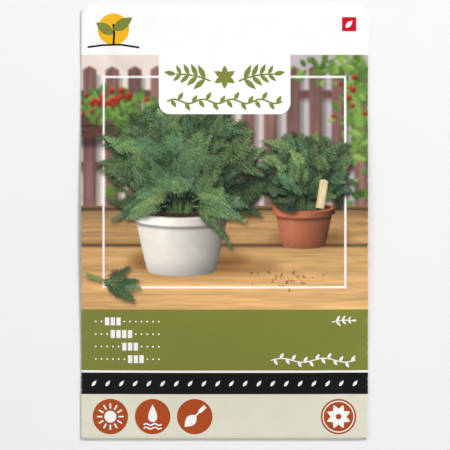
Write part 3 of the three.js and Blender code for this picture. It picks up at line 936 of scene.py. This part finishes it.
def draw_table(canvas, back):
    """Pale boards that run across, seen at a slant: how wide they look goes with the square of the distance
    below the horizon, and the grain is random values drawn out along them."""
    horizon, board_width = 34.0, 7.5
    x, y = canvas.x, canvas.y
    fall = np.clip(horizon - y, 5, None)
    near = 1 / fall
    across, into = x * near * 40, near * 900
    depth = -40 * np.log(fall)
    board = np.floor(into / board_width)
    within = into / board_width - board
    tone = 0.92 + 0.14 * wander(board * 7.7, board * 0 + 0.3, 21)
    bow = 2.2 * wander(across * 0.03, board * 3.1 + into * 0.03, 22)
    grain = 0.17 * wander(across * 0.04 + board * 9, (depth + bow) * 1.1, 23)
    pores = 0.13 * wander(across * 0.2, (depth + bow) * 4.5, 24)
    wood = shares("#e6b97e") * (tone * (0.8 + grain + pores))[..., None]
    wood *= 1 - 0.12 * wander(across * 0.02, into * 0.12, 25)[..., None] * np.array([0.2, 0.6, 1.0])
    seam = bell(np.minimum(within, 1 - within) * board_width, 0.3)
    wood *= ((1 - 0.5 * seam) * (0.88 + 0.18 * ease(-y, -back, 20)))[..., None]
    canvas.lay(canvas.edge(y - back, 7), np.clip(wood, 0, 1))
    canvas.dim(0.3 * bell(y - back, 2.5) * (y < back))


def draw_label(canvas, x, y, tall, wide, tilt):
    """A blank wooden plant label with a clipped top, stuck into the soil."""
    aside, along = turned(canvas.x - x, canvas.y - y, -tilt)
    outside = np.maximum(np.abs(aside) - wide / 2, np.maximum(-along, along - tall + 0.4 * np.abs(aside)))
    wood = shares("#ecd3a6") * (0.86 + 0.2 * wander(aside * 3, along * 0.4, 51))[..., None]
    canvas.lay(canvas.edge(outside, 1.5), wood)


def draw_cut_sprig(canvas, rng):
    """A cut sprig on the table: three stalks that run together, and fronds that spread from there."""
    count = 13
    root = np.array([(-38.5, -14.2), (-38.2, -14.9), (-38.7, -13.6)])
    tip = root + np.array([(7.5, -2.2), (6.5, -1.4), (7.0, -2.8)])
    canvas.threads(root, tip, np.full(3, 0.4), np.tile(LIGHT_GREEN * 0.8, (3, 1)), shadow=0.5)
    x, y = rng.uniform(-34, -29.5, count), rng.uniform(-17.4, -15.2, count)
    size, heading = rng.uniform(5, 8.5, count), rng.normal(-0.21, 0.42, count)
    bend, squash = rng.normal(0, 0.2, count), rng.uniform(0.5, 0.85, count)
    at = np.stack([x, y, size, heading, bend, squash, np.zeros(count), rng.uniform(0.2, 0.7, count)], 1)
    draw_fronds(canvas, rng, at, 0.55)


def draw_drooping_fronds(canvas, rng, middle, level):
    """Fronds that start on an arc round the middle of a pot's soil and droop outwards over its rim."""
    count = 44
    away = rng.uniform(-1.9, 1.9, count)
    x = middle + 10 * np.sin(away) * rng.uniform(0.3, 1, count)
    y, size = level + 2.5 * np.cos(away), rng.uniform(6, 11, count)
    bend, squash = rng.normal(0, 0.15, count), rng.uniform(0.5, 0.9, count)
    droop, lit = rng.uniform(0.25, 0.6, count), 0.3 + 0.35 * np.linspace(0, 1, count)
    at = np.stack([x, y, size, np.pi / 2 - away, bend, squash, droop, lit], 1)
    draw_fronds(canvas, rng, at, 0.6)


# The soft shadows of the two pots and of the larger plant on the table: their middle, half size each way
# and depth.
CAST_SHADOWS = ((-10, -10.5, 17, 3.2, 0.75), (23.5, -4.0, 11.5, 2.2, 0.6), (1, -12, 15, 2.6, 0.4))


def draw_picture(canvas):
    """Dwarf dill in two pots on a garden table, with a cut sprig, spilled seeds and the print's thin white
    frame line behind the plants. The places are millimetres on the packet's front."""
    rng = np.random.default_rng(11)
    x, y = canvas.x, canvas.y
    table_back, big, small = 5.0, -12, 22
    draw_garden(canvas, rng)
    draw_table(canvas, table_back)
    cast = np.zeros_like(x)
    for middle_x, middle_y, half_x, half_y, depth in CAST_SHADOWS:
        shadow = np.hypot((x - middle_x) / half_x, (y - middle_y) / half_y) < 1
        cast = np.maximum(cast, depth * shadow)
    canvas.dim(canvas.soften(cast, 1.1) * (y < table_back), (0.5, 0.58, 0.68))
    draw_leaves(canvas, rng, 34, (17, -15), (5, 1.2), 0.42, "#4a3420", "#b8935c")
    half_line = 0.285
    frame_line = np.abs(past_box(x + 0.05, y - 11.63, 33.65, 29.28)) - half_line
    canvas.lay(canvas.edge(frame_line), np.ones(3))
    draw_pot(canvas, small, top=4.5, bottom=-6.0, top_half=8.2, low_half=5.9, rim=1.5, glaze=0.15,
             colour="#b96d4e")
    draw_plant(canvas, rng, 190, foot=(small, 5.0), reach=13.5, rise=19, light=LIGHT_GREEN * 0.97)
    draw_label(canvas, 26.4, 4.3, tall=8.2, wide=2.3, tilt=0.16)
    draw_pot(canvas, big, top=3.5, bottom=-13.0, top_half=13.2, low_half=9.4, rim=2.0, glaze=0.7,
             colour="#efe9dd")
    draw_plant(canvas, rng, 430, foot=(big, 4.0), reach=23.5, rise=29)
    draw_drooping_fronds(canvas, rng, big, level=5)
    draw_cut_sprig(canvas, rng)


def picture_colours(canvas, places):
    """The picture's linear colours at these places: the mean of each point's samples, made a little crisper
    by adding its difference from a blur, and read between the points in proportion."""
    rows, cols, finer = canvas.rows // canvas.finer, canvas.cols // canvas.finer, canvas.finer
    mean = canvas.colours.reshape(rows, finer, cols, finer, 3).mean((1, 3))
    around = np.pad(mean, ((1, 1), (1, 1), (0, 0)), mode="edge")
    blurred = (around[:-2, 1:-1] + around[2:, 1:-1] + around[1:-1, :-2] + around[1:-1, 2:]) / 4
    crispness = 0.35
    crisp = np.clip(mean + crispness * (mean - blurred), 0, 1)
    where = (places - (canvas.left, canvas.low)) / canvas.pitch - 0.5
    col, row = np.clip(where[:, 0], 0, cols - 1.001), np.clip(where[:, 1], 0, rows - 1.001)
    i, j = col.astype(int), row.astype(int)
    fx, fy = (col - i)[:, None], (row - j)[:, None]
    value = (crisp[j, i] * (1 - fx) + crisp[j, i + 1] * fx) * (1 - fy)
    value += (crisp[j + 1, i] * (1 - fx) + crisp[j + 1, i + 1] * fx) * fy
    return linear(value)


# Materials


def add(tree, kind, settings=None, **inputs):
    """Adds one node with its settings. Each input is a value, or a socket to link, and is called by its
    name, with underscores for spaces, or by its number."""
    made = tree.nodes.new(kind)
    for name, value in (settings or {}).items():
        setattr(made, name, value)
    for name, value in inputs.items():
        key = int(name[1:]) if name[1:].isdigit() else name.replace("_", " ")
        if isinstance(value, bpy.types.NodeSocket):
            tree.links.new(value, made.inputs[key])
        else:
            made.inputs[key].default_value = value
    return made


def new_material(name):
    """An empty material, its node tree, and the place on the object, in metres, that its patterns
    follow."""
    material = bpy.data.materials.new(name)
    material.use_nodes = True
    tree = material.node_tree
    tree.nodes.clear()
    return material, tree, add(tree, "ShaderNodeTexCoord").outputs["Object"]


def mottled(tree, where, colour, size, shades, **grain):
    """A noise with patches of this size in millimetres, and the colour made darker and lighter by it, from
    the lower of the two shades to the upper."""
    noise = add(tree, "ShaderNodeTexNoise", Vector=where, Scale=1 / (size * MM), **grain).outputs["Fac"]
    shade = add(tree, "ShaderNodeMapRange", Value=noise, To_Min=shades[0], To_Max=shades[1])
    shaded = add(tree, "ShaderNodeVectorMath", {"operation": "SCALE"}, _0=colour,
                 Scale=shade.outputs["Result"])
    return noise, shaded.outputs["Vector"]


def finished(material, tree, relief=None, **finish):
    """The material with its shader on its output. relief is a height, its strength, and its depth in
    millimetres, and finish holds the shader's inputs."""
    if relief:
        height, strength, depth = relief
        bump = add(tree, "ShaderNodeBump", Height=height, Strength=strength, Distance=depth * MM)
        finish["Normal"] = bump.outputs["Normal"]
    shader = add(tree, "ShaderNodeBsdfPrincipled", **finish)
    add(tree, "ShaderNodeOutputMaterial", Surface=shader.outputs["BSDF"])
    return material


def coated(name, fibre, wear_from, wear_full, colour=None):
    """Offset ink on calendered coated paper of 100 grams: the clay coating makes it smooth and satin, the
    ink's density varies by a few hundredths over some millimetres, and the fibres below give a fine tooth,
    which is drawn coarser than it is, at 0.35 mm, so that it shows. Ink that is folded cracks, so fibre
    shows in grains of about a millimetre where the side folds are sharpest. Without a colour it prints the
    picture that the mesh carries."""
    material, tree, where = new_material(name)
    cloud = add(tree, "ShaderNodeTexNoise", Vector=where, Scale=1 / (6 * MM), Detail=3.0, Roughness=0.6)
    tooth = add(tree, "ShaderNodeTexNoise", Vector=where, Scale=1 / (0.35 * MM), Detail=2.0, Roughness=0.6)
    density = add(tree, "ShaderNodeMapRange", Value=cloud.outputs["Fac"], From_Min=0.3, From_Max=0.7,
                  To_Min=0.975, To_Max=1.025)
    if colour is None:
        colour = add(tree, "ShaderNodeAttribute", {"attribute_name": "picture"}).outputs["Vector"]
    printed = add(tree, "ShaderNodeVectorMath", {"operation": "SCALE"}, _0=colour,
                  Scale=density.outputs["Result"])
    parts = add(tree, "ShaderNodeSeparateXYZ", Vector=where)
    side = add(tree, "ShaderNodeMath", {"operation": "ABSOLUTE"}, _0=parts.outputs["X"])
    fold = add(tree, "ShaderNodeMapRange", Value=side.outputs["Value"], From_Min=wear_from * MM,
               From_Max=wear_full * MM)
    crack = add(tree, "ShaderNodeTexNoise", Vector=where, Scale=1 / (0.9 * MM), Detail=4.0, Roughness=0.7)
    worn = add(tree, "ShaderNodeMapRange", Value=crack.outputs["Fac"], From_Min=0.49, From_Max=0.68)
    pale = add(tree, "ShaderNodeMath", {"operation": "MULTIPLY"}, _0=fold.outputs["Result"],
               _1=worn.outputs["Result"])
    mixed = add(tree, "ShaderNodeMix", {"data_type": "RGBA"}, _0=pale.outputs["Value"],
                _6=printed.outputs["Vector"], _7=(*fibre, 1))
    satin = add(tree, "ShaderNodeMapRange", Value=cloud.outputs["Fac"], To_Min=0.36, To_Max=0.46)
    return finished(material, tree, (tooth.outputs["Fac"], 0.12, 0.02), Base_Color=mixed.outputs["Result"],
                    Roughness=satin.outputs["Result"], Specular_IOR_Level=0.22)


def uncoated(name, colour):
    """The inside and the cut edges of the same paper: bare pulp, dull, with tufts of fibre that show as a
    soft mottle of about a millimetre."""
    material, tree, where = new_material(name)
    fibre, mottle = mottled(tree, where, colour, 0.8, (0.9, 1.04), Detail=5.0, Roughness=0.7)
    return finished(material, tree, (fibre, 0.3, 0.02), Base_Color=mottle, Roughness=0.85)


def glassine(name, colour):
    """Supercalendered glassine: dense, slick and slightly yellow, with a cloudy look where fibres
    gather."""
    material, tree, where = new_material(name)
    cloud, clouded = mottled(tree, where, colour, 2.5, (0.9, 1.06), Detail=4.0, Roughness=0.65)
    return finished(material, tree, (cloud, 0.2, 0.03), Base_Color=clouded, Roughness=0.28)


def dried_glue(name, colour):
    """Dextrin glue, rolled on and dried: yellowish, with a faint streak from the roller."""
    material, tree, where = new_material(name)
    drawn = add(tree, "ShaderNodeMapping", Vector=where, Scale=(1.0, 0.15, 1.0)).outputs["Vector"]
    _, streaked = mottled(tree, drawn, colour, 0.6, (0.85, 1.1), Detail=2.0)
    return finished(material, tree, Base_Color=streaked, Roughness=0.4)


def seed_coat(name, dark, pale):
    """A dry seed coat: brown between pale ribs, dull, with a grain of about half a millimetre."""
    material, tree, where = new_material(name)
    grain = add(tree, "ShaderNodeTexNoise", Vector=where, Scale=1 / (0.5 * MM), Detail=4.0, Roughness=0.7)
    ribbed = add(tree, "ShaderNodeMix", {"data_type": "RGBA"}, _0=grain.outputs["Fac"], _6=(*dark, 1),
                 _7=(*pale, 1))
    return finished(material, tree, (grain.outputs["Fac"], 0.5, 0.05), Base_Color=ribbed.outputs["Result"],
                    Roughness=0.75)


def matt_board(name, colour):
    """Matt studio board, painted: even and without gloss, with the slightest cloud."""
    material, tree, where = new_material(name)
    _, even = mottled(tree, where, colour, 60, (0.99, 1.01), Detail=2.0)
    return finished(material, tree, Base_Color=even, Roughness=0.95, Specular_IOR_Level=0.1)


# Meshes


def new_object(name, points, faces):
    """A mesh object from points in metres and faces as rows of point numbers."""
    mesh = bpy.data.meshes.new(name)
    mesh.from_pydata(points, [], faces)
    mesh.validate()
    piece = bpy.data.objects.new(name, mesh)
    bpy.context.scene.collection.objects.link(piece)
    return piece


def steps_through(marks, pitch):
    """Rising values that hit each mark and divide each stretch between marks evenly, at about the pitch."""
    marks = np.unique(np.round(marks, DECIMALS))
    spans = []
    for start, end in zip(marks, marks[1:]):
        count = max(1, round((end - start) / pitch))
        spans.append(np.linspace(start, end, count + 1)[:-1])
    return np.round(np.concatenate([*spans, marks[-1:]]), DECIMALS)


def ink_reach(layout, folds):
    """How far the front's inks run past the blank's middle to each side."""
    return folds.side + folds.arc + layout.bleed


def on_fold(values, start, arc, within=NEXT_TO):
    """Which distances from the blank's middle, to either side, lie on a fold that starts at start."""
    return np.abs(np.abs(values) - start - arc / 2) < arc / 2 + within


def blank_grid(packet, layout, folds):
    """The plain paper's columns and rows on the flat blank, the places of their crossings, and which of the
    cells between them the blank has: all of the sleeve's, and the flaps' only as wide as they are."""
    fold_points = 7
    half = [0, packet.flap_width, ink_reach(layout, folds), folds.wing]
    half = np.concatenate([half, folds.side + np.linspace(0, folds.arc, fold_points)])
    columns = steps_through(np.concatenate([-half, half]), layout.grid)
    flap_fold = folds.end + np.linspace(0, folds.flap_arc, fold_points)
    marks = [
        0, layout.picture_top, layout.picture_low, layout.panel_low, layout.band_top, layout.band_low,
        layout.back_top, layout.back_low, folds.bottom, folds.top,
        -folds.end - folds.flap_arc - layout.foot_bleed, *flap_fold, *-flap_fold,
    ]
    rows = steps_through(marks, layout.grid)
    middle_u, middle_v = (columns[1:] + columns[:-1]) / 2, (rows[1:] + rows[:-1]) / 2
    cells = (np.abs(middle_v)[:, None] < folds.end) | (np.abs(middle_u)[None, :] < packet.flap_width)
    u, v = np.meshgrid(columns, rows)
    return SimpleNamespace(columns=columns, rows=rows, cells=cells, u=u, v=v)


def plain_points(layout, folds, grid):
    """Which of the grid's points the printed side has: the corners of the blank's cells, but inside the
    picture only those on the side folds."""
    tall, wide = grid.cells.shape
    used = np.zeros(grid.u.shape, bool)
    for up in (0, 1):
        for across in (0, 1):
            used[up : up + tall, across : across + wide] |= grid.cells
    in_picture = (
        (np.abs(grid.u) < ink_reach(layout, folds) - NEXT_TO)
        & (grid.v > layout.picture_low + NEXT_TO)
        & (grid.v < layout.picture_top - NEXT_TO)
    )
    return used & (~in_picture | on_fold(grid.u, folds.side, folds.arc))


def picture_points(layout, folds, grid):
    """The points inside the picture: a fine grid of them, whose columns on the side folds are the plain
    paper's. Under the tab, where the picture doesn't show, there are only the plain paper's points."""
    clear_of_edge, clear_of_tab, within_tab = 0.1, 0.3, 0.5
    reach, top = ink_reach(layout, folds), layout.picture_top - clear_of_edge
    fine_u = np.arange(-reach + layout.pitch / 2, reach, layout.pitch)
    fine_u = fine_u[~on_fold(fine_u, folds.side, folds.arc, clear_of_edge)]
    fold_u = grid.columns[on_fold(grid.columns, folds.side, folds.arc)]
    fine_v = np.arange(layout.picture_low + layout.pitch / 2, top, layout.pitch)
    fine = np.stack(np.meshgrid(np.concatenate([fine_u, fold_u]), fine_v), -1).reshape(-1, 2)
    across, low = layout.tab_width - clear_of_tab, layout.tab_low + clear_of_tab
    hidden = (np.abs(fine[:, 0]) < across) & (fine[:, 1] > low)
    across, low = layout.tab_width - within_tab, layout.tab_low + within_tab
    plain = (np.abs(grid.u) < across) & (grid.v > low) & (grid.v < top)
    return [fine[~hidden], np.stack([grid.u, grid.v], -1)[plain]]


def cut_and_fold_edges(folds, grid, number):
    """The grid's edges along the blank's cut edges and along every column and row of its folds, as pairs of
    point numbers. number is -1 where the grid's point isn't used."""
    whole = np.pad(grid.cells, 1)
    cut_row = whole[1:, 1:-1] != whole[:-1, 1:-1]
    cut_column = whole[1:-1, 1:] != whole[1:-1, :-1]
    fold_row = on_fold(grid.rows, folds.end, folds.flap_arc)[:, None]
    fold_column = on_fold(grid.columns, folds.side, folds.arc)[None, :]
    left, right, lower, upper = number[:, :-1], number[:, 1:], number[:-1], number[1:]
    across = (left >= 0) & (right >= 0) & (cut_row | fold_row)
    up = (lower >= 0) & (upper >= 0) & (cut_column | fold_column)
    return [np.stack([left[across], right[across]], 1), np.stack([lower[up], upper[up]], 1)]


def inks_at(places, shapes):
    """The ink at each place: that of the last shape which has it inside, and paper where none has."""
    inks = np.full(len(places), "paper", dtype=object)
    for outline, name in shapes:
        low, high = outline.min(0), outline.max(0)
        near = np.flatnonzero(((places > low) & (places < high)).all(1))
        inks[near[inside(outline, places[near])]] = name
    return inks


def outer_triangles(layout, folds, grid, shapes):
    """The printed side on the flat blank, as a constrained triangulation of the plain paper's grid, the
    fine points of the picture and the print's outlines. Returns the points, the triangles, the number of
    each grid point among the points, and each triangle's ink."""
    plain = plain_points(layout, folds, grid)
    number = np.full(plain.shape, -1)
    number[plain] = np.arange(plain.sum())
    vertices = [np.stack([grid.u, grid.v], -1)[plain], *picture_points(layout, folds, grid)]
    edges = cut_and_fold_edges(folds, grid, number)
    count = sum(len(part) for part in vertices)
    for outline, _ in shapes:
        outline = divided(outline, layout.grid)
        ring = count + np.arange(len(outline))
        edges.append(np.stack([ring, np.roll(ring, -1)], 1))
        vertices.append(np.round(outline, DECIMALS))
        count += len(outline)
    vertices, edges = np.concatenate(vertices).tolist(), np.concatenate(edges).tolist()
    all_triangles, with_origins = 0, True
    found = delaunay_2d_cdt(vertices, edges, [], all_triangles, NEXT_TO, with_origins)
    places, triangles, origins = np.array(found[0]), np.array(found[2]), found[3]

    middle = places[triangles].mean(1)
    column = np.clip(np.searchsorted(grid.columns, middle[:, 0]) - 1, 0, len(grid.columns) - 2)
    row = np.clip(np.searchsorted(grid.rows, middle[:, 1]) - 1, 0, len(grid.rows) - 2)
    on_blank = grid.cells[row, column]
    merged = np.fromiter(map(len, origins), int)
    new_number = np.full(count, -1)
    new_number[np.fromiter(chain.from_iterable(origins), int)] = np.repeat(np.arange(len(merged)), merged)
    number = np.where(number >= 0, new_number[number], -1)
    return places, triangles[on_blank], number, inks_at(middle[on_blank], shapes)


# The four sides of a cell of the grid: the step up and across to the next cell, and the side's two corners.
CELL_SIDES = (
    ((-1, 0), (0, 0), (0, 1)),
    ((0, 1), (0, 1), (1, 1)),
    ((1, 0), (1, 1), (1, 0)),
    ((0, -1), (1, 0), (0, 0)),
)


def cut_rims(grid, printed, bare):
    """The triangles that close the paper along its cut edges, and the direction on the flat blank that each
    looks in. printed and bare are the numbers of the grid's points on the two sides."""
    whole = np.pad(grid.cells, 1)
    rims, outwards = [], []
    for (up, across), start, end in CELL_SIDES:
        beyond = whole[1 + up : whole.shape[0] - 1 + up, 1 + across : whole.shape[1] - 1 + across]
        row, column = np.nonzero(grid.cells & ~beyond)
        one, two = (row + start[0], column + start[1]), (row + end[0], column + end[1])
        rims.append(np.stack([printed[one], bare[one], bare[two]], 1))
        rims.append(np.stack([printed[one], bare[two], printed[two]], 1))
        outwards.append(np.tile((across, up), (2 * len(row), 1)))
    return np.concatenate(rims), np.concatenate(outwards)


# What lies on the printed side: the bare coated paper, the picture, and the plain inks.
INKS = ("paper", "picture", "olive", "black", "beige", "rust", "red", "gold")


def build_envelope(packet, layout, ink_colours, stuff):
    """The packet as one closed mesh: the printed side, the bare side, and a rim along every cut edge."""
    folds = fold_places(packet)
    grid = blank_grid(packet, layout, folds)
    reach = ink_reach(layout, folds)
    foot_low = -folds.end - folds.flap_arc - layout.foot_bleed
    foot = rectangle(-reach, foot_low, reach, layout.band_low)
    shapes = [(foot, "beige"), *front_print(layout, reach), *back_print(layout, folds, reach)]
    flat, triangles, printed, inks = outer_triangles(layout, folds, grid, shapes)
    outer = skin(packet, flat[:, 0], flat[:, 1], 1)

    grid_u, grid_v = grid.u.ravel(), grid.v.ravel()
    inner = skin(packet, grid_u, grid_v, -1)
    bare = len(outer) + np.arange(grid.u.size).reshape(grid.u.shape)
    row, column = np.nonzero(grid.cells)
    corners = ((0, 0), (1, 0), (1, 1), (0, 1))
    quads = np.stack([bare[row + up, column + across] for up, across in corners], 1)
    inner_faces = np.concatenate([quads[:, :3], quads[:, [0, 2, 3]]])
    rim_faces, outwards = cut_rims(grid, printed, bare)

    used, faces = np.unique(np.concatenate([triangles, inner_faces, rim_faces]), return_inverse=True)
    faces = faces.reshape(-1, 3)
    points = np.concatenate([outer, inner])[used]
    places = np.concatenate([flat, np.stack([grid_u, grid_v], 1)])[used]
    piece = new_object("packet_paper", (points * MM).tolist(), faces.tolist())
    mesh = piece.data

    wear = packet.wear_from, packet.wear_full
    for slot in INKS:
        colour = getattr(ink_colours, slot, None)
        mesh.materials.append(coated(f"coated_paper_{slot}_offset", stuff.fibre, *wear, colour))
    mesh.materials.append(uncoated("paper_pulp_bare", stuff.pulp))
    index = np.full(len(faces), len(INKS))
    for k, slot in enumerate(INKS):
        index[: len(inks)][inks == slot] = k
    mesh.polygons.foreach_set("material_index", index.astype(np.int32))

    canvas = Canvas(-reach, layout.picture_low, reach, layout.picture_top, layout.pitch)
    draw_picture(canvas)
    attribute = mesh.attributes.new("picture", "FLOAT_VECTOR", "POINT")
    attribute.data.foreach_set("vector", picture_colours(canvas, places).astype(np.float32).ravel())

    on_outer = np.arange(len(faces)) < len(triangles)
    spread = np.zeros((len(faces), 3, 2))
    on_printed_side = used[faces[-len(rim_faces) :]] < len(outer)
    spread[-len(rim_faces) :] = on_printed_side[..., None] * outwards[:, None]
    lay_out_map(mesh, places, faces, on_outer, spread, folds)
    mesh.shade_smooth()
    mesh.set_sharp_from_angle(angle=math.radians(50))
    return piece


def lay_out_map(mesh, places, faces, on_outer, spread, folds):
    """The flat blank laid out for textures: the printed front large at the left, and the wings, the flaps
    and the bare side smaller in the strip that is left. spread is 1 in the direction away from the bare
    side for the corners of a rim that lie on the printed side, so that the rim has a width of its own
    there."""
    edge, end = folds.side + folds.arc, folds.end + folds.flap_arc
    margin, rim_width = 0.5, 0.8
    size = 2 * end + 2 * margin
    strip, strip_middle = 2 * edge + 2 * margin, 2 * edge + 31.4
    wing, flap, bare = 0.45, 0.25, 0.10
    x, y = np.moveaxis(places[faces].mean(1), -1, 0)
    between_sides, between_ends = np.abs(x) < edge, np.abs(y) < end
    # Each area's triangles, its scale, and where the blank's middle would lie at that scale.
    areas = (
        (on_outer & between_sides & between_ends, 1.0, (margin + edge, size / 2)),
        (on_outer & (x > edge), wing, (strip - wing * edge, margin + wing * end)),
        (on_outer & (x < -edge), wing, (strip + wing * (folds.wing + margin), 1.5 + wing * 3.05 * end)),
        (on_outer & (y > end) & between_sides, flap, (strip_middle, 28 - flap * end)),
        (on_outer & (y < -end) & between_sides, flap, (strip_middle, 38 + flap * end)),
        (~on_outer, bare, (strip_middle, 12)),
    )
    uv = np.zeros((len(faces), 3, 2))
    for chosen, scale, middle in areas:
        uv[chosen] = places[faces[chosen]] * scale + middle
    uv += rim_width * spread
    layer = mesh.uv_layers.new(name="OFBake")
    layer.uv.foreach_set("vector", (uv / size).astype(np.float32).ravel())


def floor_rings(radius, cove, wall):
    """The studio floor's points, ring by ring: a flat disc, a quarter circle up at its rim, and a wall."""
    hub, sides, steps = 0.02, 96, 12
    turn = np.linspace(0, 2 * np.pi, sides, endpoint=False)
    bend = np.linspace(0, np.pi / 2, steps)
    round_bend = np.stack([radius + cove * np.sin(bend), cove * (1 - np.cos(bend))], 1)
    profile = np.concatenate([[(hub, 0.0)], round_bend, [(radius + cove, wall)]])
    out, up = profile[:, :1], np.broadcast_to(profile[:, 1:], (len(profile), sides))
    return np.stack([out * np.cos(turn), out * np.sin(turn), up], -1)


class SEEDPACKET_OT_envelope(bpy.types.Operator):
    """Make the folded and printed paper packet"""

    bl_idname = "seedpacket.envelope"
    bl_label = "Printed packet"

    def execute(self, context):
        scene = context.scene
        packet, layout = millimetres(scene.packet_sizes), millimetres(scene.print_sizes)
        piece = build_envelope(packet, layout, scene.print_colours, scene.stuff_colours)
        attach(piece, "root")
        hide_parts("outer_envelope")
        return {"FINISHED"}


class SEEDPACKET_OT_contents(bpy.types.Operator):
    """Give the glue, the sachet and the seeds their finish"""

    bl_idname = "seedpacket.contents"
    bl_label = "Glue, sachet and seeds"

    def execute(self, context):
        stuff = context.scene.stuff_colours
        finishes = {
            "glue": dried_glue("dextrin_glue_rolled", stuff.glue),
            "film": glassine("glassine_calendered", stuff.glassine),
            "seed": seed_coat("seed_coat_dried", stuff.seed_dark, stuff.seed_pale),
        }
        for name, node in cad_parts.items():
            for word, finish in finishes.items():
                if word in name:
                    node.data.materials.clear()
                    node.data.materials.append(finish)
        return {"FINISHED"}


class SEEDPACKET_OT_stage(bpy.types.Operator):
    """Make the floor, the lights and the camera"""

    bl_idname = "seedpacket.stage"
    bl_label = "Stage"

    def execute(self, context):
        scene = context.scene
        stage = scene.stage_sizes
        rings = floor_rings(stage.radius, stage.cove, stage.wall)
        number = np.arange(rings[..., 0].size).reshape(rings.shape[:2])
        after = np.roll(number, -1, axis=1)
        faces = np.stack([number[:-1], number[1:], after[1:], after[:-1]], -1).reshape(-1, 4).tolist()
        faces.append(number[0].tolist())
        floor = new_object("floor", rings.reshape(-1, 3).tolist(), faces)
        floor.data.materials.append(matt_board("studio_board_painted", stage.floor))
        floor.data.shade_smooth()

        lamps = (
            ("key", stage.key_place, stage.key_width, stage.key),
            ("fill", stage.fill_place, stage.fill_width, stage.fill),
        )
        for name, position, width, power in lamps:
            lamp = bpy.data.lights.new(name, "AREA")
            lamp.shape = "DISK"
            lamp.size = width
            lamp.energy = power
            holder = bpy.data.objects.new(name, lamp)
            holder.location = position
            holder.rotation_euler = (-Vector(position)).to_track_quat("-Z", "Y").to_euler()
            scene.collection.objects.link(holder)

        world = bpy.data.worlds.new("studio")
        world.use_nodes = True
        sky = world.node_tree.nodes["Background"]
        sky.inputs["Color"].default_value = (1, 1, 1, 1)
        sky.inputs["Strength"].default_value = stage.sky
        scene.world = world
        scene.view_settings.view_transform = "Standard"

        lens = bpy.data.cameras.new("camera")
        lens.lens = stage.lens
        lens.clip_start = 0.01
        lens.clip_end = 20
        away = stage.view * stage.lens / lens.sensor_width
        camera = bpy.data.objects.new("camera", lens)
        camera.location = (stage.aim_x, stage.aim_y, PACKET_HIGH.z * 0.6 + away)
        scene.collection.objects.link(camera)
        scene.camera = camera
        return {"FINISHED"}


class SEEDPACKET_PT_panel(bpy.types.Panel):
    """The packet's sizes, inks and steps"""

    bl_label = "Seed packet"
    bl_idname = "SEEDPACKET_PT_panel"
    bl_space_type = "VIEW_3D"
    bl_region_type = "UI"
    bl_category = "Seed packet"

    def draw(self, context):
        for group in GROUPS:
            box = self.layout.box()
            values = getattr(context.scene, group)
            for name in values.__annotations__:
                box.prop(values, name)
        for operator in OPERATORS:
            self.layout.operator(operator.bl_idname)


GROUPS = {
    "packet_sizes": PacketSizes,
    "print_sizes": PrintSizes,
    "print_colours": PrintColours,
    "stuff_colours": StuffColours,
    "stage_sizes": StageSizes,
}
OPERATORS = (SEEDPACKET_OT_envelope, SEEDPACKET_OT_contents, SEEDPACKET_OT_stage)


def register():
    """Tells Blender of the packet's properties, steps and panel."""
    for group in GROUPS.values():
        bpy.utils.register_class(group)
    for name, group in GROUPS.items():
        setattr(bpy.types.Scene, name, PointerProperty(type=group))
    for operator in OPERATORS:
        bpy.utils.register_class(operator)
    bpy.utils.register_class(SEEDPACKET_PT_panel)


def unregister():
    """Takes them out of Blender again."""
    bpy.utils.unregister_class(SEEDPACKET_PT_panel)
    for operator in reversed(OPERATORS):
        bpy.utils.unregister_class(operator)
    for name, group in GROUPS.items():
        delattr(bpy.types.Scene, name)
        bpy.utils.unregister_class(group)


def main():
    """Makes the packet, its contents and the stage."""
    register()
    bpy.ops.seedpacket.envelope()
    bpy.ops.seedpacket.contents()
    bpy.ops.seedpacket.stage()


if __name__ == "__main__":
    main()
